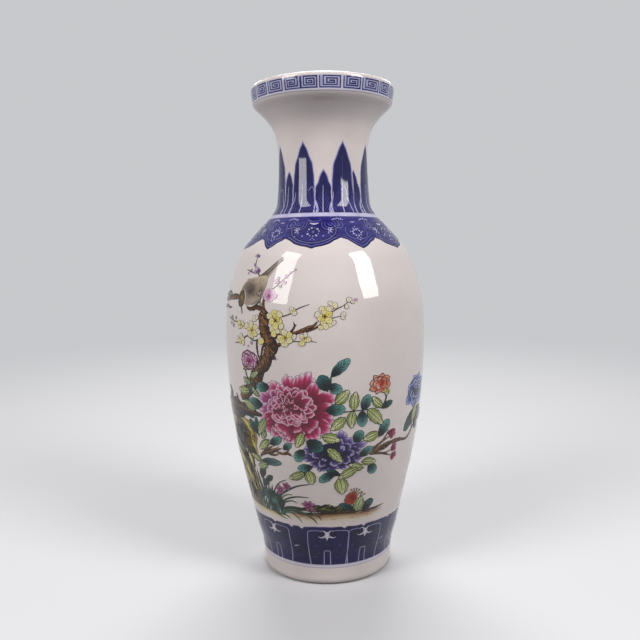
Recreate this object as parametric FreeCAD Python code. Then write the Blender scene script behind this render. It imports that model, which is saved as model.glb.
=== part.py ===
import FreeCAD, Part
import math
import os
from collections import namedtuple

# A dish-mouth baluster vase of white porcelain, thrown in five sections.
# Each section is luted to the next with slip in a lap joint, and the joined
# body carries three coats of glaze: outside, inside and under the floor.
# Millimetres, +Z up, origin at the centre of the foot's bearing face.

# Lengths along the axis, from the foot upwards
foot_height = 14.0
foot_flare_length = 16.0
lower_swell_length = 34.0
upper_swell_length = 84.0
crown_length = 34.0
shoulder_length = 23.0
shoulder_slope_length = 15.0
neck_turn_length = 10.0
neck_lower_length = 22.0
neck_upper_length = 20.0
dish_flare_length = 12.0
dish_underside_length = 3.3
dish_edge_length = 3.0
dish_wall_length = 8.1

# Radii of the glazed outside
foot_radius = 41.0
foot_top_step = 0.6
foot_flare_step = 4.0
lower_swell_step = 7.9
belly_radius = 62.8
neck_waist_radius = 27.95
neck_foot_step = 1.05
neck_turn_step = 5.3
shoulder_slope_step = 13.9
crown_step = 3.9
neck_upper_step = 2.0
mouth_radius = 44.4
dish_wall_step = 1.0
dish_edge_step = 1.9
dish_underside_step = 3.7

# Lean of the outside from the vertical, in degrees, outwards positive
foot_top_lean = 6.0
foot_flare_lean = 12.5
lower_swell_lean = 13.0
crown_lean = -17.0
shoulder_edge_lean = -41.0
neck_root_lean = -43.0
neck_foot_lean = -5.0
neck_flare_lean = 17.0
dish_flare_lean = 45.0
dish_underside_lean = 48.0
dish_edge_lean = 5.0
dish_bowl_lean = 4.0
upright = 0.0

# Thickness of the wall, glaze to glaze
foot_wall = 5.6
lower_wall = 4.8
belly_wall = 4.4
shoulder_wall = 4.4
neck_wall = 4.0
dish_wall = 3.6
lip_thickness = 3.2
dish_bowl_rise = 3.4
dish_bowl_wall = 3.4

# Foot ring, floor and glaze
foot_round = 4.0
foot_ring_width = 8.0
ring_edge_round = 1.0
base_recess = 6.0
base_fillet = 1.6
floor_thickness = 6.0
floor_corner_radius = 8.0
floor_wall = 5.6
glaze = 0.35
outer_glaze_line = 1.1
base_glaze_line = 1.8

# Luting joints
lap_height = 3.0
slip_thickness = 0.4

# Working values
full_turn = 360.0
cut_overrun = 10.0
straight_limit_share = 0.00001
diagonal_share = math.sqrt(0.5)

outer_side = 1
inner_side = -1
axis_start = FreeCAD.Vector(0, 0, 0)
axis_up = FreeCAD.Vector(0, 0, 1)

Station = namedtuple("Station", "height radius lean wall")


def point(radius, height):
    return FreeCAD.Vector(radius, 0, height)


def heading(lean):
    """Unit vector along an outline that leans outwards by this angle."""
    angle = math.radians(lean)
    return point(math.sin(angle), math.cos(angle))


def sunk(place, way, depth):
    """The place moved this deep into the wall, square to the outline's way."""
    return place - point(way.z, -way.x) * depth


def line(start, end):
    return Part.LineSegment(start, end).toShape()


def tangent_arc(start, way, end):
    """Arc from start, leaving along way, to end; a line where it is straight."""
    chord = end - start
    along = FreeCAD.Vector(chord)
    along.normalize()
    aside = way - along * way.dot(along)
    if aside.Length < straight_limit_share:
        return line(start, end)
    half_turn = math.atan2(aside.Length, way.dot(along))
    aside.normalize()
    middle = (start + end) * 0.5 + aside * (chord.Length * math.tan(half_turn / 2) / 2)
    return Part.Arc(start, middle, end).toShape()


def biarc_joint(start, start_way, end, end_way):
    """Where two arcs that join two points with given ways meet, and their way there."""
    across = end - start
    both = start_way + end_way
    spread = 2 * (1 - start_way.dot(end_way))
    pull = across.dot(both)
    if spread < straight_limit_share:
        reach = across.dot(across) / (2 * pull)
    else:
        reach = (math.sqrt(pull * pull + spread * across.dot(across)) - pull) / spread
    joint = (start + start_way * reach + end - end_way * reach) * 0.5
    joint_way = end - end_way * reach - start - start_way * reach
    joint_way.normalize()
    return joint, joint_way


def smooth_course(stops):
    """The stops, each a place and a way, with the joint of a biarc between each two."""
    course = [stops[0]]
    for before, after in zip(stops, stops[1:]):
        course += [biarc_joint(*before, *after), after]
    return course


def parallel_edges(course, depth):
    """The course's arcs, drawn this deep below it in the wall."""
    edges = []
    for (place, way), (next_place, next_way) in zip(course, course[1:]):
        edges.append(tangent_arc(sunk(place, way, depth), way, sunk(next_place, next_way, depth)))
    return edges


def quarter(centre, first_arm, last_arm):
    """Quarter circle from the end of one arm to the end of the other."""
    middle = centre + (first_arm + last_arm) * diagonal_share
    return Part.Arc(centre + first_arm, middle, centre + last_arm).toShape()


def face_of(edges):
    return Part.Face(Part.Wire(Part.sortEdges(edges)[0]))


def polygon(corners):
    return Part.Face(Part.makePolygon(corners + [corners[0]]))


def turned(face):
    return face.revolve(axis_start, axis_up, full_turn)


# Stations of the outside, from the foot to the lip
clay_foot_round = foot_round - glaze
flare_height = foot_height + foot_flare_length
lower_height = flare_height + lower_swell_length
belly_height = lower_height + upper_swell_length
crown_height = belly_height + crown_length
shoulder_height = crown_height + shoulder_length
neck_root_height = shoulder_height + shoulder_slope_length
neck_foot_height = neck_root_height + neck_turn_length
waist_height = neck_foot_height + neck_lower_length
neck_flare_height = waist_height + neck_upper_length
dish_flare_height = neck_flare_height + dish_flare_length
dish_underside_height = dish_flare_height + dish_underside_length
dish_edge_height = dish_underside_height + dish_edge_length
lip_height = dish_edge_height + dish_wall_length
vase_height = lip_height + lip_thickness / 2

foot_top_radius = foot_radius + foot_top_step
flare_radius = foot_top_radius + foot_flare_step
lower_radius = flare_radius + lower_swell_step
neck_foot_radius = neck_waist_radius + neck_foot_step
neck_root_radius = neck_foot_radius + neck_turn_step
shoulder_radius = neck_root_radius + shoulder_slope_step
neck_flare_radius = neck_waist_radius + neck_upper_step
dish_edge_radius = mouth_radius - dish_wall_step
dish_underside_radius = dish_edge_radius - dish_edge_step
dish_flare_radius = dish_underside_radius - dish_underside_step

foot_base = Station(clay_foot_round, foot_radius, upright, foot_wall)
foot_top = Station(foot_height, foot_top_radius, foot_top_lean, foot_wall)
foot_flare = Station(flare_height, flare_radius, foot_flare_lean, foot_wall)
lower_swell = Station(lower_height, lower_radius, lower_swell_lean, lower_wall)
belly = Station(belly_height, belly_radius, upright, belly_wall)
crown = Station(crown_height, belly_radius - crown_step, crown_lean, belly_wall)
shoulder = Station(shoulder_height, shoulder_radius, shoulder_edge_lean, shoulder_wall)
neck_root = Station(neck_root_height, neck_root_radius, neck_root_lean, shoulder_wall)
neck_foot = Station(neck_foot_height, neck_foot_radius, neck_foot_lean, neck_wall)
neck_waist = Station(waist_height, neck_waist_radius, upright, neck_wall)
neck_flare = Station(neck_flare_height, neck_flare_radius, neck_flare_lean, neck_wall)
dish_flare = Station(dish_flare_height, dish_flare_radius, dish_flare_lean, dish_wall)
dish_underside = Station(dish_underside_height, dish_underside_radius, dish_underside_lean, dish_wall)
dish_edge = Station(dish_edge_height, dish_edge_radius, dish_edge_lean, dish_wall)
lip = Station(lip_height, mouth_radius, upright, lip_thickness)

# The dish is rounder inside, so its bowl has a station of its own
dish_bowl = Station(dish_edge_height + dish_bowl_rise, mouth_radius, dish_bowl_lean, dish_bowl_wall)

body_stations = [foot_flare, lower_swell, belly, crown, shoulder]
neck_stations = [neck_root, neck_foot, neck_waist, neck_flare, dish_flare]
trunk = body_stations + neck_stations
outer_stations = [foot_base, foot_top] + trunk + [dish_underside, dish_edge, lip]
inner_stations = trunk + [dish_bowl, lip]

floor_top = base_recess + floor_thickness
corner_top = floor_top + floor_corner_radius
cavity_foot_radius = foot_top_radius - floor_wall
ring_inner_radius = foot_radius - foot_ring_width
bearing_inner_radius = ring_inner_radius + ring_edge_round
bearing_outer_radius = foot_radius - foot_round
lip_centre_radius = mouth_radius - lip_thickness / 2
cut_reach = belly_radius + cut_overrun


def between(lower_line, upper_line):
    """The area between two lines that both run in to the axis."""
    return polygon(lower_line + list(reversed(upper_line)))


def level_line(height):
    return [point(cut_reach, height), point(0, height)]


def stop_at(station, depth):
    """The station's place this deep in the wall, and the outline's way there."""
    way = heading(station.lean)
    return sunk(point(station.radius, station.height), way, depth), way


def outer_surface(depth):
    """Edges of the outside from the foot's round to the lip, this deep in it."""
    return parallel_edges(smooth_course([stop_at(station, 0) for station in outer_stations]), depth)


def foot_rounding(depth):
    """Quarter round under the foot's outside, this deep below the glaze."""
    centre = point(bearing_outer_radius, clay_foot_round)
    radius = foot_round - depth
    return centre - point(0, radius), quarter(centre, point(0, -radius), point(radius, 0))


def inner_surface(cover):
    """Start on the axis, and the edges over the floor and up to the lip.

    Cover is the glaze that lies on the clay there: zero gives the clay itself.
    """
    floor_start = point(0, floor_top + cover)
    corner_centre = point(cavity_foot_radius - floor_corner_radius, corner_top)
    corner_radius = floor_corner_radius - cover
    floor = line(floor_start, corner_centre - point(0, corner_radius))
    corner = quarter(corner_centre, point(0, -corner_radius), point(corner_radius, 0))
    stops = [(corner_centre + point(floor_corner_radius, 0), heading(upright))]
    stops += [stop_at(station, station.wall - glaze) for station in inner_stations]
    return floor_start, [floor, corner] + parallel_edges(smooth_course(stops), cover)


def lip_crest(depth):
    return point(lip_centre_radius, lip_height + lip_thickness / 2 - depth)


def lip_quarter(depth, side):
    """Round from the lip's crest down its outer (side 1) or inner (side -1) face."""
    radius = lip_thickness / 2 - depth
    centre = point(lip_centre_radius, lip_height)
    return quarter(centre, point(0, radius), point(side * radius, 0))


def base_surface(cover):
    """Recess under the floor: from the axis to the foot ring's inner side."""
    radius = base_fillet - cover
    centre = point(ring_inner_radius - base_fillet, base_recess - base_fillet)
    start = point(0, base_recess - cover)
    ceiling = line(start, centre + point(0, radius))
    return start, centre + point(radius, 0), [ceiling, quarter(centre, point(0, radius), point(radius, 0))]


def clay_profile():
    """The whole clay body in section, before it is parted into its pieces."""
    low, rounding = foot_rounding(glaze)
    floor_start, inside = inner_surface(0)
    recess_start, ring_side, recess = base_surface(0)
    ring_foot = point(ring_inner_radius, ring_edge_round)
    edge_centre = point(bearing_inner_radius, ring_edge_round)
    ring_edge = quarter(edge_centre, point(-ring_edge_round, 0), point(0, -ring_edge_round))
    bearing_face = line(point(bearing_inner_radius, 0), low)
    edges = [bearing_face, rounding] + outer_surface(glaze)
    edges += [lip_quarter(glaze, outer_side), lip_quarter(glaze, inner_side)] + inside
    edges += recess + [line(ring_side, ring_foot), ring_edge, line(recess_start, floor_start)]
    return face_of(edges)


def outer_glaze_profile():
    """The coat from the bare ring's edge up to the lip's crest."""
    clay_low, clay_rounding = foot_rounding(glaze)
    glaze_low, glaze_rounding = foot_rounding(0)
    edges = [line(glaze_low, clay_low), clay_rounding] + outer_surface(glaze)
    edges += [lip_quarter(glaze, outer_side), line(lip_crest(glaze), lip_crest(0))]
    edges += [lip_quarter(0, outer_side)] + outer_surface(0) + [glaze_rounding]
    below = between(level_line(-cut_overrun), level_line(outer_glaze_line))
    return face_of(edges).cut(below).Faces[0]


def inner_glaze_profile():
    """The coat from the lip's crest down the inside and over the floor."""
    clay_floor, clay_inside = inner_surface(0)
    glaze_floor, glaze_inside = inner_surface(glaze)
    edges = clay_inside + [lip_quarter(glaze, inner_side), line(lip_crest(glaze), lip_crest(0))]
    edges += [lip_quarter(0, inner_side)] + glaze_inside
    return face_of(edges + [line(glaze_floor, clay_floor)])


def base_glaze_profile():
    """The coat in the recess, from the axis to a line on the foot ring."""
    clay_start, clay_side, clay_edges = base_surface(0)
    glaze_start, glaze_side, glaze_edges = base_surface(glaze)
    clay_end = point(ring_inner_radius, base_glaze_line)
    glaze_end = point(ring_inner_radius - glaze, base_glaze_line)
    edges = clay_edges + [line(clay_side, clay_end), line(clay_end, glaze_end)]
    edges += [line(glaze_end, glaze_side)] + glaze_edges
    return face_of(edges + [line(glaze_start, clay_start)])


def lap_steps(station):
    """The two stepped lines of a lap joint: top of the lower section's edge
    with its inner spigot, and foot of the upper section's edge."""
    level_wall = station.wall / math.cos(math.radians(station.lean))
    riser = station.radius - level_wall / 2
    low = station.height - lap_height / 2
    high = low + lap_height
    lower_edge = [
        point(cut_reach, low),
        point(riser, low),
        point(riser, high),
        point(0, high),
    ]
    upper_edge = [
        point(cut_reach, low + slip_thickness),
        point(riser + slip_thickness, low + slip_thickness),
        point(riser + slip_thickness, high + slip_thickness),
        point(0, high + slip_thickness),
    ]
    return lower_edge, upper_edge


joints = [
    ("foot_slip_seam", foot_flare),
    ("belly_slip_seam", belly),
    ("neck_slip_seam", neck_foot),
    ("mouth_slip_seam", neck_flare),
]
sections = ["foot_section", "lower_body", "upper_body", "neck", "dish_mouth"]


def clay_and_slip():
    """The thrown sections and the slip between them, parted from one profile."""
    profile = clay_profile()
    pieces = {}
    floor_line = level_line(-cut_overrun)
    for section, (seam, station) in zip(sections, joints):
        lower_edge, upper_edge = lap_steps(station)
        pieces[section] = profile.common(between(floor_line, lower_edge)).Faces[0]
        pieces[seam] = profile.common(between(lower_edge, upper_edge)).Faces[0]
        floor_line = upper_edge
    top = level_line(vase_height + cut_overrun)
    pieces[sections[-1]] = profile.common(between(floor_line, top)).Faces[0]
    return pieces


profiles = clay_and_slip()
profiles["outer_glaze"] = outer_glaze_profile()
profiles["inner_glaze"] = inner_glaze_profile()
profiles["base_glaze"] = base_glaze_profile()

os.makedirs("parts", exist_ok=True)
for name, profile in profiles.items():
    piece = turned(profile)
    piece.exportStep("parts/" + name + ".step")
    print(name, "valid", piece.isValid(), "volume", round(piece.Volume), "mm3")
print("height", round(vase_height, 3), "largest diameter", round(2 * belly_radius, 3))
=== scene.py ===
import math

import bpy
import numpy as np
from mathutils import Matrix, Vector


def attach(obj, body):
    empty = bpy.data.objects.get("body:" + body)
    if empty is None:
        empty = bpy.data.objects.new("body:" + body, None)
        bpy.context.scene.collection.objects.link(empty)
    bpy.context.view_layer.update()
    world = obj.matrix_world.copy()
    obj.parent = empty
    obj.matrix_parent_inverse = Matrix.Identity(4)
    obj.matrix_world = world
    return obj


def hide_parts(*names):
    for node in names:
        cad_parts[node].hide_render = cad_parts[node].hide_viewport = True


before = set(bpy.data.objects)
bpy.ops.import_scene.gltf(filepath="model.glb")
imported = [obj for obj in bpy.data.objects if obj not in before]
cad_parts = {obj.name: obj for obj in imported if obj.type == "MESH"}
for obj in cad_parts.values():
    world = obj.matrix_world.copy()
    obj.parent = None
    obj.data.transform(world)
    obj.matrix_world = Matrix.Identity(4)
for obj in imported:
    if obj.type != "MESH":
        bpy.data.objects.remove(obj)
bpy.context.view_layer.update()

# ---------------------------------------------------------------- surface
# Outside of the vase: height and radius in mm, lean from the vertical in
# degrees. A place on it is an angle from the front (positive to the right,
# degrees) and a height (mm).
MM = 0.001
HEIGHT = 300
OUTSIDE = [
    (3.65, 41.0, 0), (14, 41.6, 6), (30, 45.6, 12.5), (64, 53.5, 13),
    (148, 62.8, 0), (182, 58.9, -17), (205, 48.2, -41), (220, 34.3, -43),
    (230, 29.0, -5), (252, 27.95, 0), (272, 29.95, 17), (284, 37.8, 45),
    (287.3, 41.5, 48), (290.3, 43.4, 5), (298.4, 44.4, 0),
]
# Thickness of the wall at OUTSIDE's heights from 30 to 284 mm
WALL = [5.6, 4.8, 4.4, 4.4, 4.4, 4.4, 4.0, 4.0, 4.0, 3.6]
GLAZE = 0.35
# The foot's edge is rounded and bare of glaze below this height
FOOT_RADIUS, FOOT_ROUND, BARE = 41.0, 4.0, 1.1
LIP_RADIUS, LIP_HEIGHT, LIP = 44.4, 298.4, 1.6
# Inside: the floor's height, the round of its corner and the radius there
FLOOR, CORNER, INNER_FOOT = 12.0, 8, 36.0
# Recess under the floor, its round edge and where its glaze ends
RECESS_RADIUS, RECESS_HEIGHT, RECESS_ROUND, RECESS_LOW = 33.0, 6.0, 1.6, 1.8
# Coats across the axis start this far from it, so that no face shrinks away
CENTRE = 0.05
# Marks thin out to a share where the belly comes near its greatest half width
BELLY_LIMIT, BELLY_EASE, LEAST_SHARE = 62.79, 0.45, 0.03
# How far the undersides of the marks lie below the glaze's surface
SUNK = 0.06
# Points on each arc of the outline
ARC_POINTS = 24


def arc(p, t, q, n):
    """Points and ways along the arc from p, leaving along t, to q."""
    c = q - p
    h = math.atan2(t[0] * c[1] - t[1] * c[0], t @ c)
    s = np.linspace(0, 1, n, endpoint=False)
    k = s if abs(h) < 1e-6 else np.sin(s * h) / math.sin(h)

    def turn(w):
        return np.stack([t[0] * np.cos(w) - t[1] * np.sin(w), t[0] * np.sin(w) + t[1] * np.cos(w)], -1)

    return p + (np.hypot(*c) * k)[:, None] * turn(s * h), turn(2 * s * h)


def biarcs(stops):
    """Points and ways along biarcs through stops, each a place and a way."""
    places, ways = [], []
    for (p, t), (q, u) in zip(stops, stops[1:]):
        v = q - p
        s = 2 * (1 - t @ u)
        b = v @ (t + u)
        d = v @ v / (2 * b) if s < 1e-5 else (math.sqrt(b * b + s * (v @ v)) - b) / s
        j = (p + t * d + q - u * d) / 2
        w = q - u * d - p - t * d
        w /= np.hypot(*w)
        for part in (arc(p, t, j, ARC_POINTS), arc(j, w, q, ARC_POINTS)):
            places.append(part[0])
            ways.append(part[1])
    places.append(stops[-1][0][None])
    ways.append(stops[-1][1][None])
    return np.concatenate(places), np.concatenate(ways)


def stop(radius, height, lean, depth=0.0):
    """Place and way of a station of the outline, moved inward by depth."""
    t = math.radians(lean)
    way = np.array([math.sin(t), math.cos(t)])
    return np.array([radius, height]) - np.array([way[1], -way[0]]) * depth, way


def quarter(r, z, size, start, end, n=8):
    """Points on a round of this size about (r, z), angles in degrees."""
    t = np.radians(np.linspace(start, end, n))
    return np.stack([r + size * np.cos(t), z + size * np.sin(t)], -1)


OUT_P, OUT_T = biarcs([stop(r, z, lean) for z, r, lean in OUTSIDE])


def radius(z):
    """Outside radius in mm at this height."""
    return np.interp(z, OUT_P[:, 1], OUT_P[:, 0])


def per_degree(z):
    """Width in mm of one degree of the outside at this height."""
    return radius(z) * math.pi / 180


def surface(a, z, lift):
    """Places in metres, lifted off the glaze by mm, and the way out there."""
    out = np.interp(z, OUT_P[:, 1], np.arctan2(OUT_T[:, 0], OUT_T[:, 1]))
    t = np.radians(a)
    n = np.stack([np.cos(out) * np.sin(t), -np.cos(out) * np.cos(t), -np.sin(out)], -1)
    r = radius(z)
    p = np.stack([r * np.sin(t), -r * np.cos(t), z + 0 * a], -1)
    room = np.clip((BELLY_LIMIT - np.abs(p[..., :2]).max(-1)) / BELLY_EASE, LEAST_SHARE, 1)
    return (p + n * (lift * room)[..., None]) * MM, n


# ---------------------------------------------------------------- colours
def hue(*rgb):
    """Linear colour from 0..255 display values."""
    c = np.array(rgb, float) / 255
    return np.where(c < 0.04045, c / 12.92, ((c + 0.055) / 1.055) ** 2.4)


def mix(a, b, t):
    """Blend from colour a to colour b by the shares t."""
    t = np.asarray(t, float)[..., None]
    return a * (1 - t) + b * t


def hues(*rows):
    """List of linear colours."""
    return [hue(*row) for row in rows]


WHITE = hue(229, 219, 217)
NAVY = hue(14, 11, 72)
COBALT = hue(27, 22, 105)
BLUE = hue(76, 72, 158)
WASH = hue(150, 150, 206)
LAVENDER = hue(196, 192, 232)
COBALT_SLOT, ENAMEL = "underglaze_blue", "overglaze_enamel"
# Enamels come out this much deeper than written where they are dark
DEEPEN = 0.32


# ---------------------------------------------------------------- meshes
def wobble(x, seed=0.0):
    """Smooth noise along x, about -1..1."""
    waves = np.sin(x + seed * 1.7) + 0.6 * np.sin(x * 2.3 + seed * 4.1) + 0.4 * np.sin(x * 5.1 + seed * 2.9)
    return waves / 2


def make_object(name, verts, faces, tint, uv, normals):
    """Mesh object from places, four-cornered faces, colours, UVs and normals."""
    mesh = bpy.data.meshes.new(name)
    mesh.vertices.add(len(verts))
    mesh.vertices.foreach_set("co", verts.astype(np.float32).ravel())
    mesh.loops.add(faces.size)
    mesh.loops.foreach_set("vertex_index", faces.astype(np.int32).ravel())
    mesh.polygons.add(len(faces))
    mesh.polygons.foreach_set("loop_start", np.arange(0, faces.size, 4, dtype=np.int32))
    mesh.polygons.foreach_set("use_smooth", np.ones(len(faces), dtype=bool))
    colour = mesh.attributes.new("tint", "FLOAT_COLOR", "POINT")
    rgba = np.concatenate([tint, np.ones((len(tint), 1))], 1)
    colour.data.foreach_set("color", rgba.astype(np.float32).ravel())
    layer = mesh.uv_layers.new(name="OFBake")
    layer.data.foreach_set("uv", uv[faces.ravel()].astype(np.float32).ravel())
    mesh.update(calc_edges=True)
    mesh.normals_split_custom_set_from_vertices(normals.astype(np.float32))
    item = bpy.data.objects.new(name, mesh)
    bpy.context.scene.collection.objects.link(item)
    return item


def grid_faces(n, m):
    i, j = np.meshgrid(np.arange(n - 1), np.arange(m - 1), indexing="ij")
    a = i * m + j
    return np.stack([a, a + m, a + m + 1, a + 1], -1).reshape(-1, 4)


def strip(a, low, high, rows):
    """Grid over the angles a between two lines of heights, and shares of the way up."""
    t = np.linspace(0, 1, rows)
    return np.repeat(a[:, None], rows, 1), low[:, None] * (1 - t) + high[:, None] * t, t


def shifted(middle, points, side=1):
    """The points with their angles taken from the middle, mirrored when side is -1."""
    return [(middle + side * a, z) for a, z in points]


def oval(a, z, wide, high, step=20):
    """Places round an oval; half sizes in degrees across and mm high."""
    return [(a + wide * math.cos(t), z + high * math.sin(t)) for t in np.radians(np.arange(0, 360, step))]


class Coat:
    """Thin closed brush marks laid on the glaze, gathered into one piece.

    Each mark is a grid of places (angle, height) with a colour at each.
    Lift is the height of the first mark over the glaze, step the rise from one
    mark to the next, both in mm.
    """
    # UV sheet: mm between marks, and its area over that of the marks
    gap, spare = 0.3, 1.12
    # Lines taper at their ends over a share of the length or over half widths
    taper_share, taper_widths, plain_end = 0.35, 2.2, 0.1
    least_width = 0.02

    def __init__(self, name, slot, lift=0.02, step=0.004):
        self.name = name
        self.slot = slot
        self.lift = self.base = lift
        self.step = step
        self.marks = []

    def level(self, steps=0):
        """Lays the next mark this many steps above the first."""
        self.lift = self.base + steps * self.step

    def lay(self, a, z, rgb):
        """Adds a mark; the next one lies on top of it."""
        a, z = np.broadcast_arrays(np.asarray(a, float), np.asarray(z, float))
        rgb = np.broadcast_to(rgb, a.shape + (3,))
        if self.slot == ENAMEL:
            share = np.clip(rgb / WHITE, 0, 1)
            rgb = WHITE * share ** (1 + DEEPEN - DEEPEN * share)
        self.marks.append((a, z, rgb, self.lift))
        self.lift += self.step

    def pack(self):
        """Room for each mark on the UV sheet: its corner and sides, and the sheet's side."""
        boxes = []
        for index, (a, z, _, _) in enumerate(self.marks):
            x = a * float(per_degree(z.mean()))
            long, wide = (max(np.hypot(np.diff(x, axis=i), np.diff(z, axis=i)).sum(i).max(), self.gap)
                for i in (0, 1))
            boxes.append((wide, long, index))
        total = sum((w + self.gap) * (l + self.gap) for w, l, _ in boxes)
        side = max(math.sqrt(total * self.spare), max(l for _, l, _ in boxes) + 0.5)
        x = y = row = 0.0
        spots = {}
        for wide, long, index in sorted(boxes, reverse=True):
            if x + long + self.gap > side:
                x = 0.0
                y += row + self.gap
                row = 0.0
            spots[index] = (x, y, long, wide)
            x += long + self.gap
            row = max(row, wide)
        return spots, max(side, y + row + self.gap)

    def finish(self):
        """Makes the piece from its marks."""
        spots, sheet = self.pack()
        verts, faces, tints, uvs, normals = [], [], [], [], []
        count = 0
        for index, (a, z, rgb, lift) in enumerate(self.marks):
            n, m = a.shape
            k = per_degree(z)
            du = np.gradient(a, axis=0) * k, np.gradient(z, axis=0)
            dv = np.gradient(a, axis=1) * k, np.gradient(z, axis=1)
            flip = (du[0] * dv[1] - du[1] * dv[0]).sum() < 0
            top, out = surface(a, z, lift)
            under, _ = surface(a, z, -SUNK)
            size = n * m
            i = np.arange(size).reshape(n, m)
            rim = np.concatenate([i[:-1, 0], i[-1, :-1], i[:0:-1, -1], i[0, :0:-1]])
            turned = np.roll(rim, -1)
            upper = grid_faces(n, m)
            sides = np.stack([rim, rim + size, turned + size, turned], -1)
            block = np.concatenate([upper, upper[:, ::-1] + size, sides])
            if flip:
                block = block[:, ::-1]
            x, y, long, wide = spots[index]
            u, v = np.meshgrid(np.linspace(0, 1, n), np.linspace(0, 1, m), indexing="ij")
            x, y = x + self.gap / 2, y + self.gap / 2
            uv = np.stack([x + u * long, y + v * wide], -1).reshape(-1, 2) / sheet
            verts += [top.reshape(-1, 3), under.reshape(-1, 3)]
            normals += [out.reshape(-1, 3)] * 2
            tints += [rgb.reshape(-1, 3)] * 2
            uvs += [uv, uv]
            faces.append(block + count)
            count += 2 * size
        verts, faces, tints, uvs, normals = map(np.concatenate, (verts, faces, tints, uvs, normals))
        item = make_object(self.name, verts, faces, np.clip(tints, 0, 1), uvs, normals)
        item.data.materials.append(coat_material(self.slot))
        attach(item, "root")

    # -------------------------------------------------- kinds of marks
    def stroke(self, points, width, colour, across=None, ends=(1, 1), rough=0.0, seed=0.0, step=0.8):
        """Brush line through the points. Width in mm, one or a list along it.

        Across gives (place -1..1, colour) pairs instead of one colour.
        Ends are the shares of the width left at the start and the end.
        """
        a, z, long = course(points, step)
        n = len(a)
        t = np.linspace(0, 1, n)
        width = np.atleast_1d(np.asarray(width, float))
        w = np.interp(t, np.linspace(0, 1, len(width)), width) / 2
        reach = self.plain_end
        if ends != (1, 1):
            reach = min(self.taper_share, self.taper_widths * w.max() / max(long, 0.01))
        w = w * np.interp(t, [0, reach, 1 - reach, 1], [ends[0], 1, 1, ends[1]])
        w = np.maximum(w * (1 + rough * wobble(t * long / 1.5, seed)), self.least_width)
        k = per_degree(z)
        dx = np.gradient(a) * k
        dz = np.gradient(z)
        size = np.maximum(np.hypot(dx, dz), 1e-9)
        if across is None:
            across = [(-1, colour), (1, colour)]
        place = np.array([p for p, _ in across], float)
        A = a[:, None] - (dz / size)[:, None] * place * w[:, None] / k[:, None]
        Z = z[:, None] + (dx / size)[:, None] * place * w[:, None]
        rgb = np.stack([np.broadcast_to(c, (n, 3)) for _, c in across], 1)
        self.lay(A, Z, rgb)

    def soft_stroke(self, points, width, colour, ground, **more):
        """Brush line whose edges run into the ground colour."""
        edge = mix(ground, colour, 0.35)
        self.stroke(points, width, colour, across=[(-1, edge), (-0.6, colour), (0.6, colour), (1, edge)],
            **more)

    def patch(self, centre, rim, core, edge=None, power=1.0, n=None, streak=None):
        """Filled shape about a centre; rim lists (angle, height) places round it.

        The colour runs from core to edge, or core is a function of the place.
        Streak gives a colour, a number of streaks and their strength.
        """
        a0, z0 = centre
        k = float(per_degree(z0))
        rim = np.array(rim, float)
        x, y = (rim[:, 0] - a0) * k, rim[:, 1] - z0
        way = np.unwrap(np.arctan2(y, x))
        if way[-1] < way[0]:
            way, x, y = way[::-1], x[::-1], y[::-1]
        far = np.hypot(x, y)
        way = np.concatenate([way - 2 * np.pi, way, way + 2 * np.pi])
        far = np.tile(far, 3)
        size = far.max()
        n = n or int(np.clip(size * 2.4 / 0.8, 5, 60))
        s = np.linspace(-1, 1, n)
        u, v = np.meshgrid(s, s, indexing="ij")
        px, py = u * np.sqrt(1 - v * v / 2), v * np.sqrt(1 - u * u / 2)
        rho = np.hypot(px, py)
        phi = np.arctan2(py, px)
        base = way[len(way) // 3]
        reach = np.interp((phi - base) % (2 * np.pi) + base, way, far)
        X, Y = rho * reach * np.cos(phi), rho * reach * np.sin(phi)
        rgb = core(a0 + X / k, z0 + Y) if callable(core) else mix(core, edge, rho ** power)
        if streak is not None:
            rgb = mix(rgb, streak[0], streak[2] * (0.5 + 0.5 * wobble(phi * streak[1] + rho, 1.3)))
        self.lay(a0 + X / k, z0 + Y, rgb)

    def dot(self, a, z, size, core, edge=None, squash=1.0, turn=0.0, n=5):
        """Small oval spot, its long way turned by degrees."""
        t = np.radians(np.arange(0, 360, 30))
        x, y = size * np.cos(t), size * squash * np.sin(t)
        c, s = math.cos(math.radians(turn)), math.sin(math.radians(turn))
        k = float(per_degree(z))
        rim = np.stack([a + (x * c - y * s) / k, z + x * s + y * c], -1)
        self.patch((a, z), rim, core, core if edge is None else edge, n=n)

    def band(self, low, high, rgb, cell=0.9, sectors=12, rows=None):
        """Ring round the vase; low and high are heights or functions of angle.

        The colour is one colour or a function of (angle, height, share up).
        """
        def height(edge, a):
            return edge(a) if callable(edge) else np.full(len(a), float(edge))

        for s in range(sectors):
            left = -180.0 + 360.0 * s / sectors
            start = np.array([left])
            middle = float(np.mean(height(low, start) + height(high, start)) / 2)
            count = int(360.0 / sectors * per_degree(middle) / cell) + 2
            a = np.linspace(left, left + 360.0 / sectors, count)
            z0, z1 = height(low, a), height(high, a)
            A, Z, t = strip(a, z0, z1, rows or max(int((z1 - z0).max() / cell) + 2, 2))
            tone = rgb(A, Z, t + 0 * A) if callable(rgb) else np.broadcast_to(rgb, A.shape + (3,))
            self.marks.append((A, Z, tone, self.lift))
        self.lift += self.step

    def line_round(self, low, high, rgb):
        """Plain thin line round the vase."""
        self.band(low, high, rgb, rows=2, sectors=8)


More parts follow.
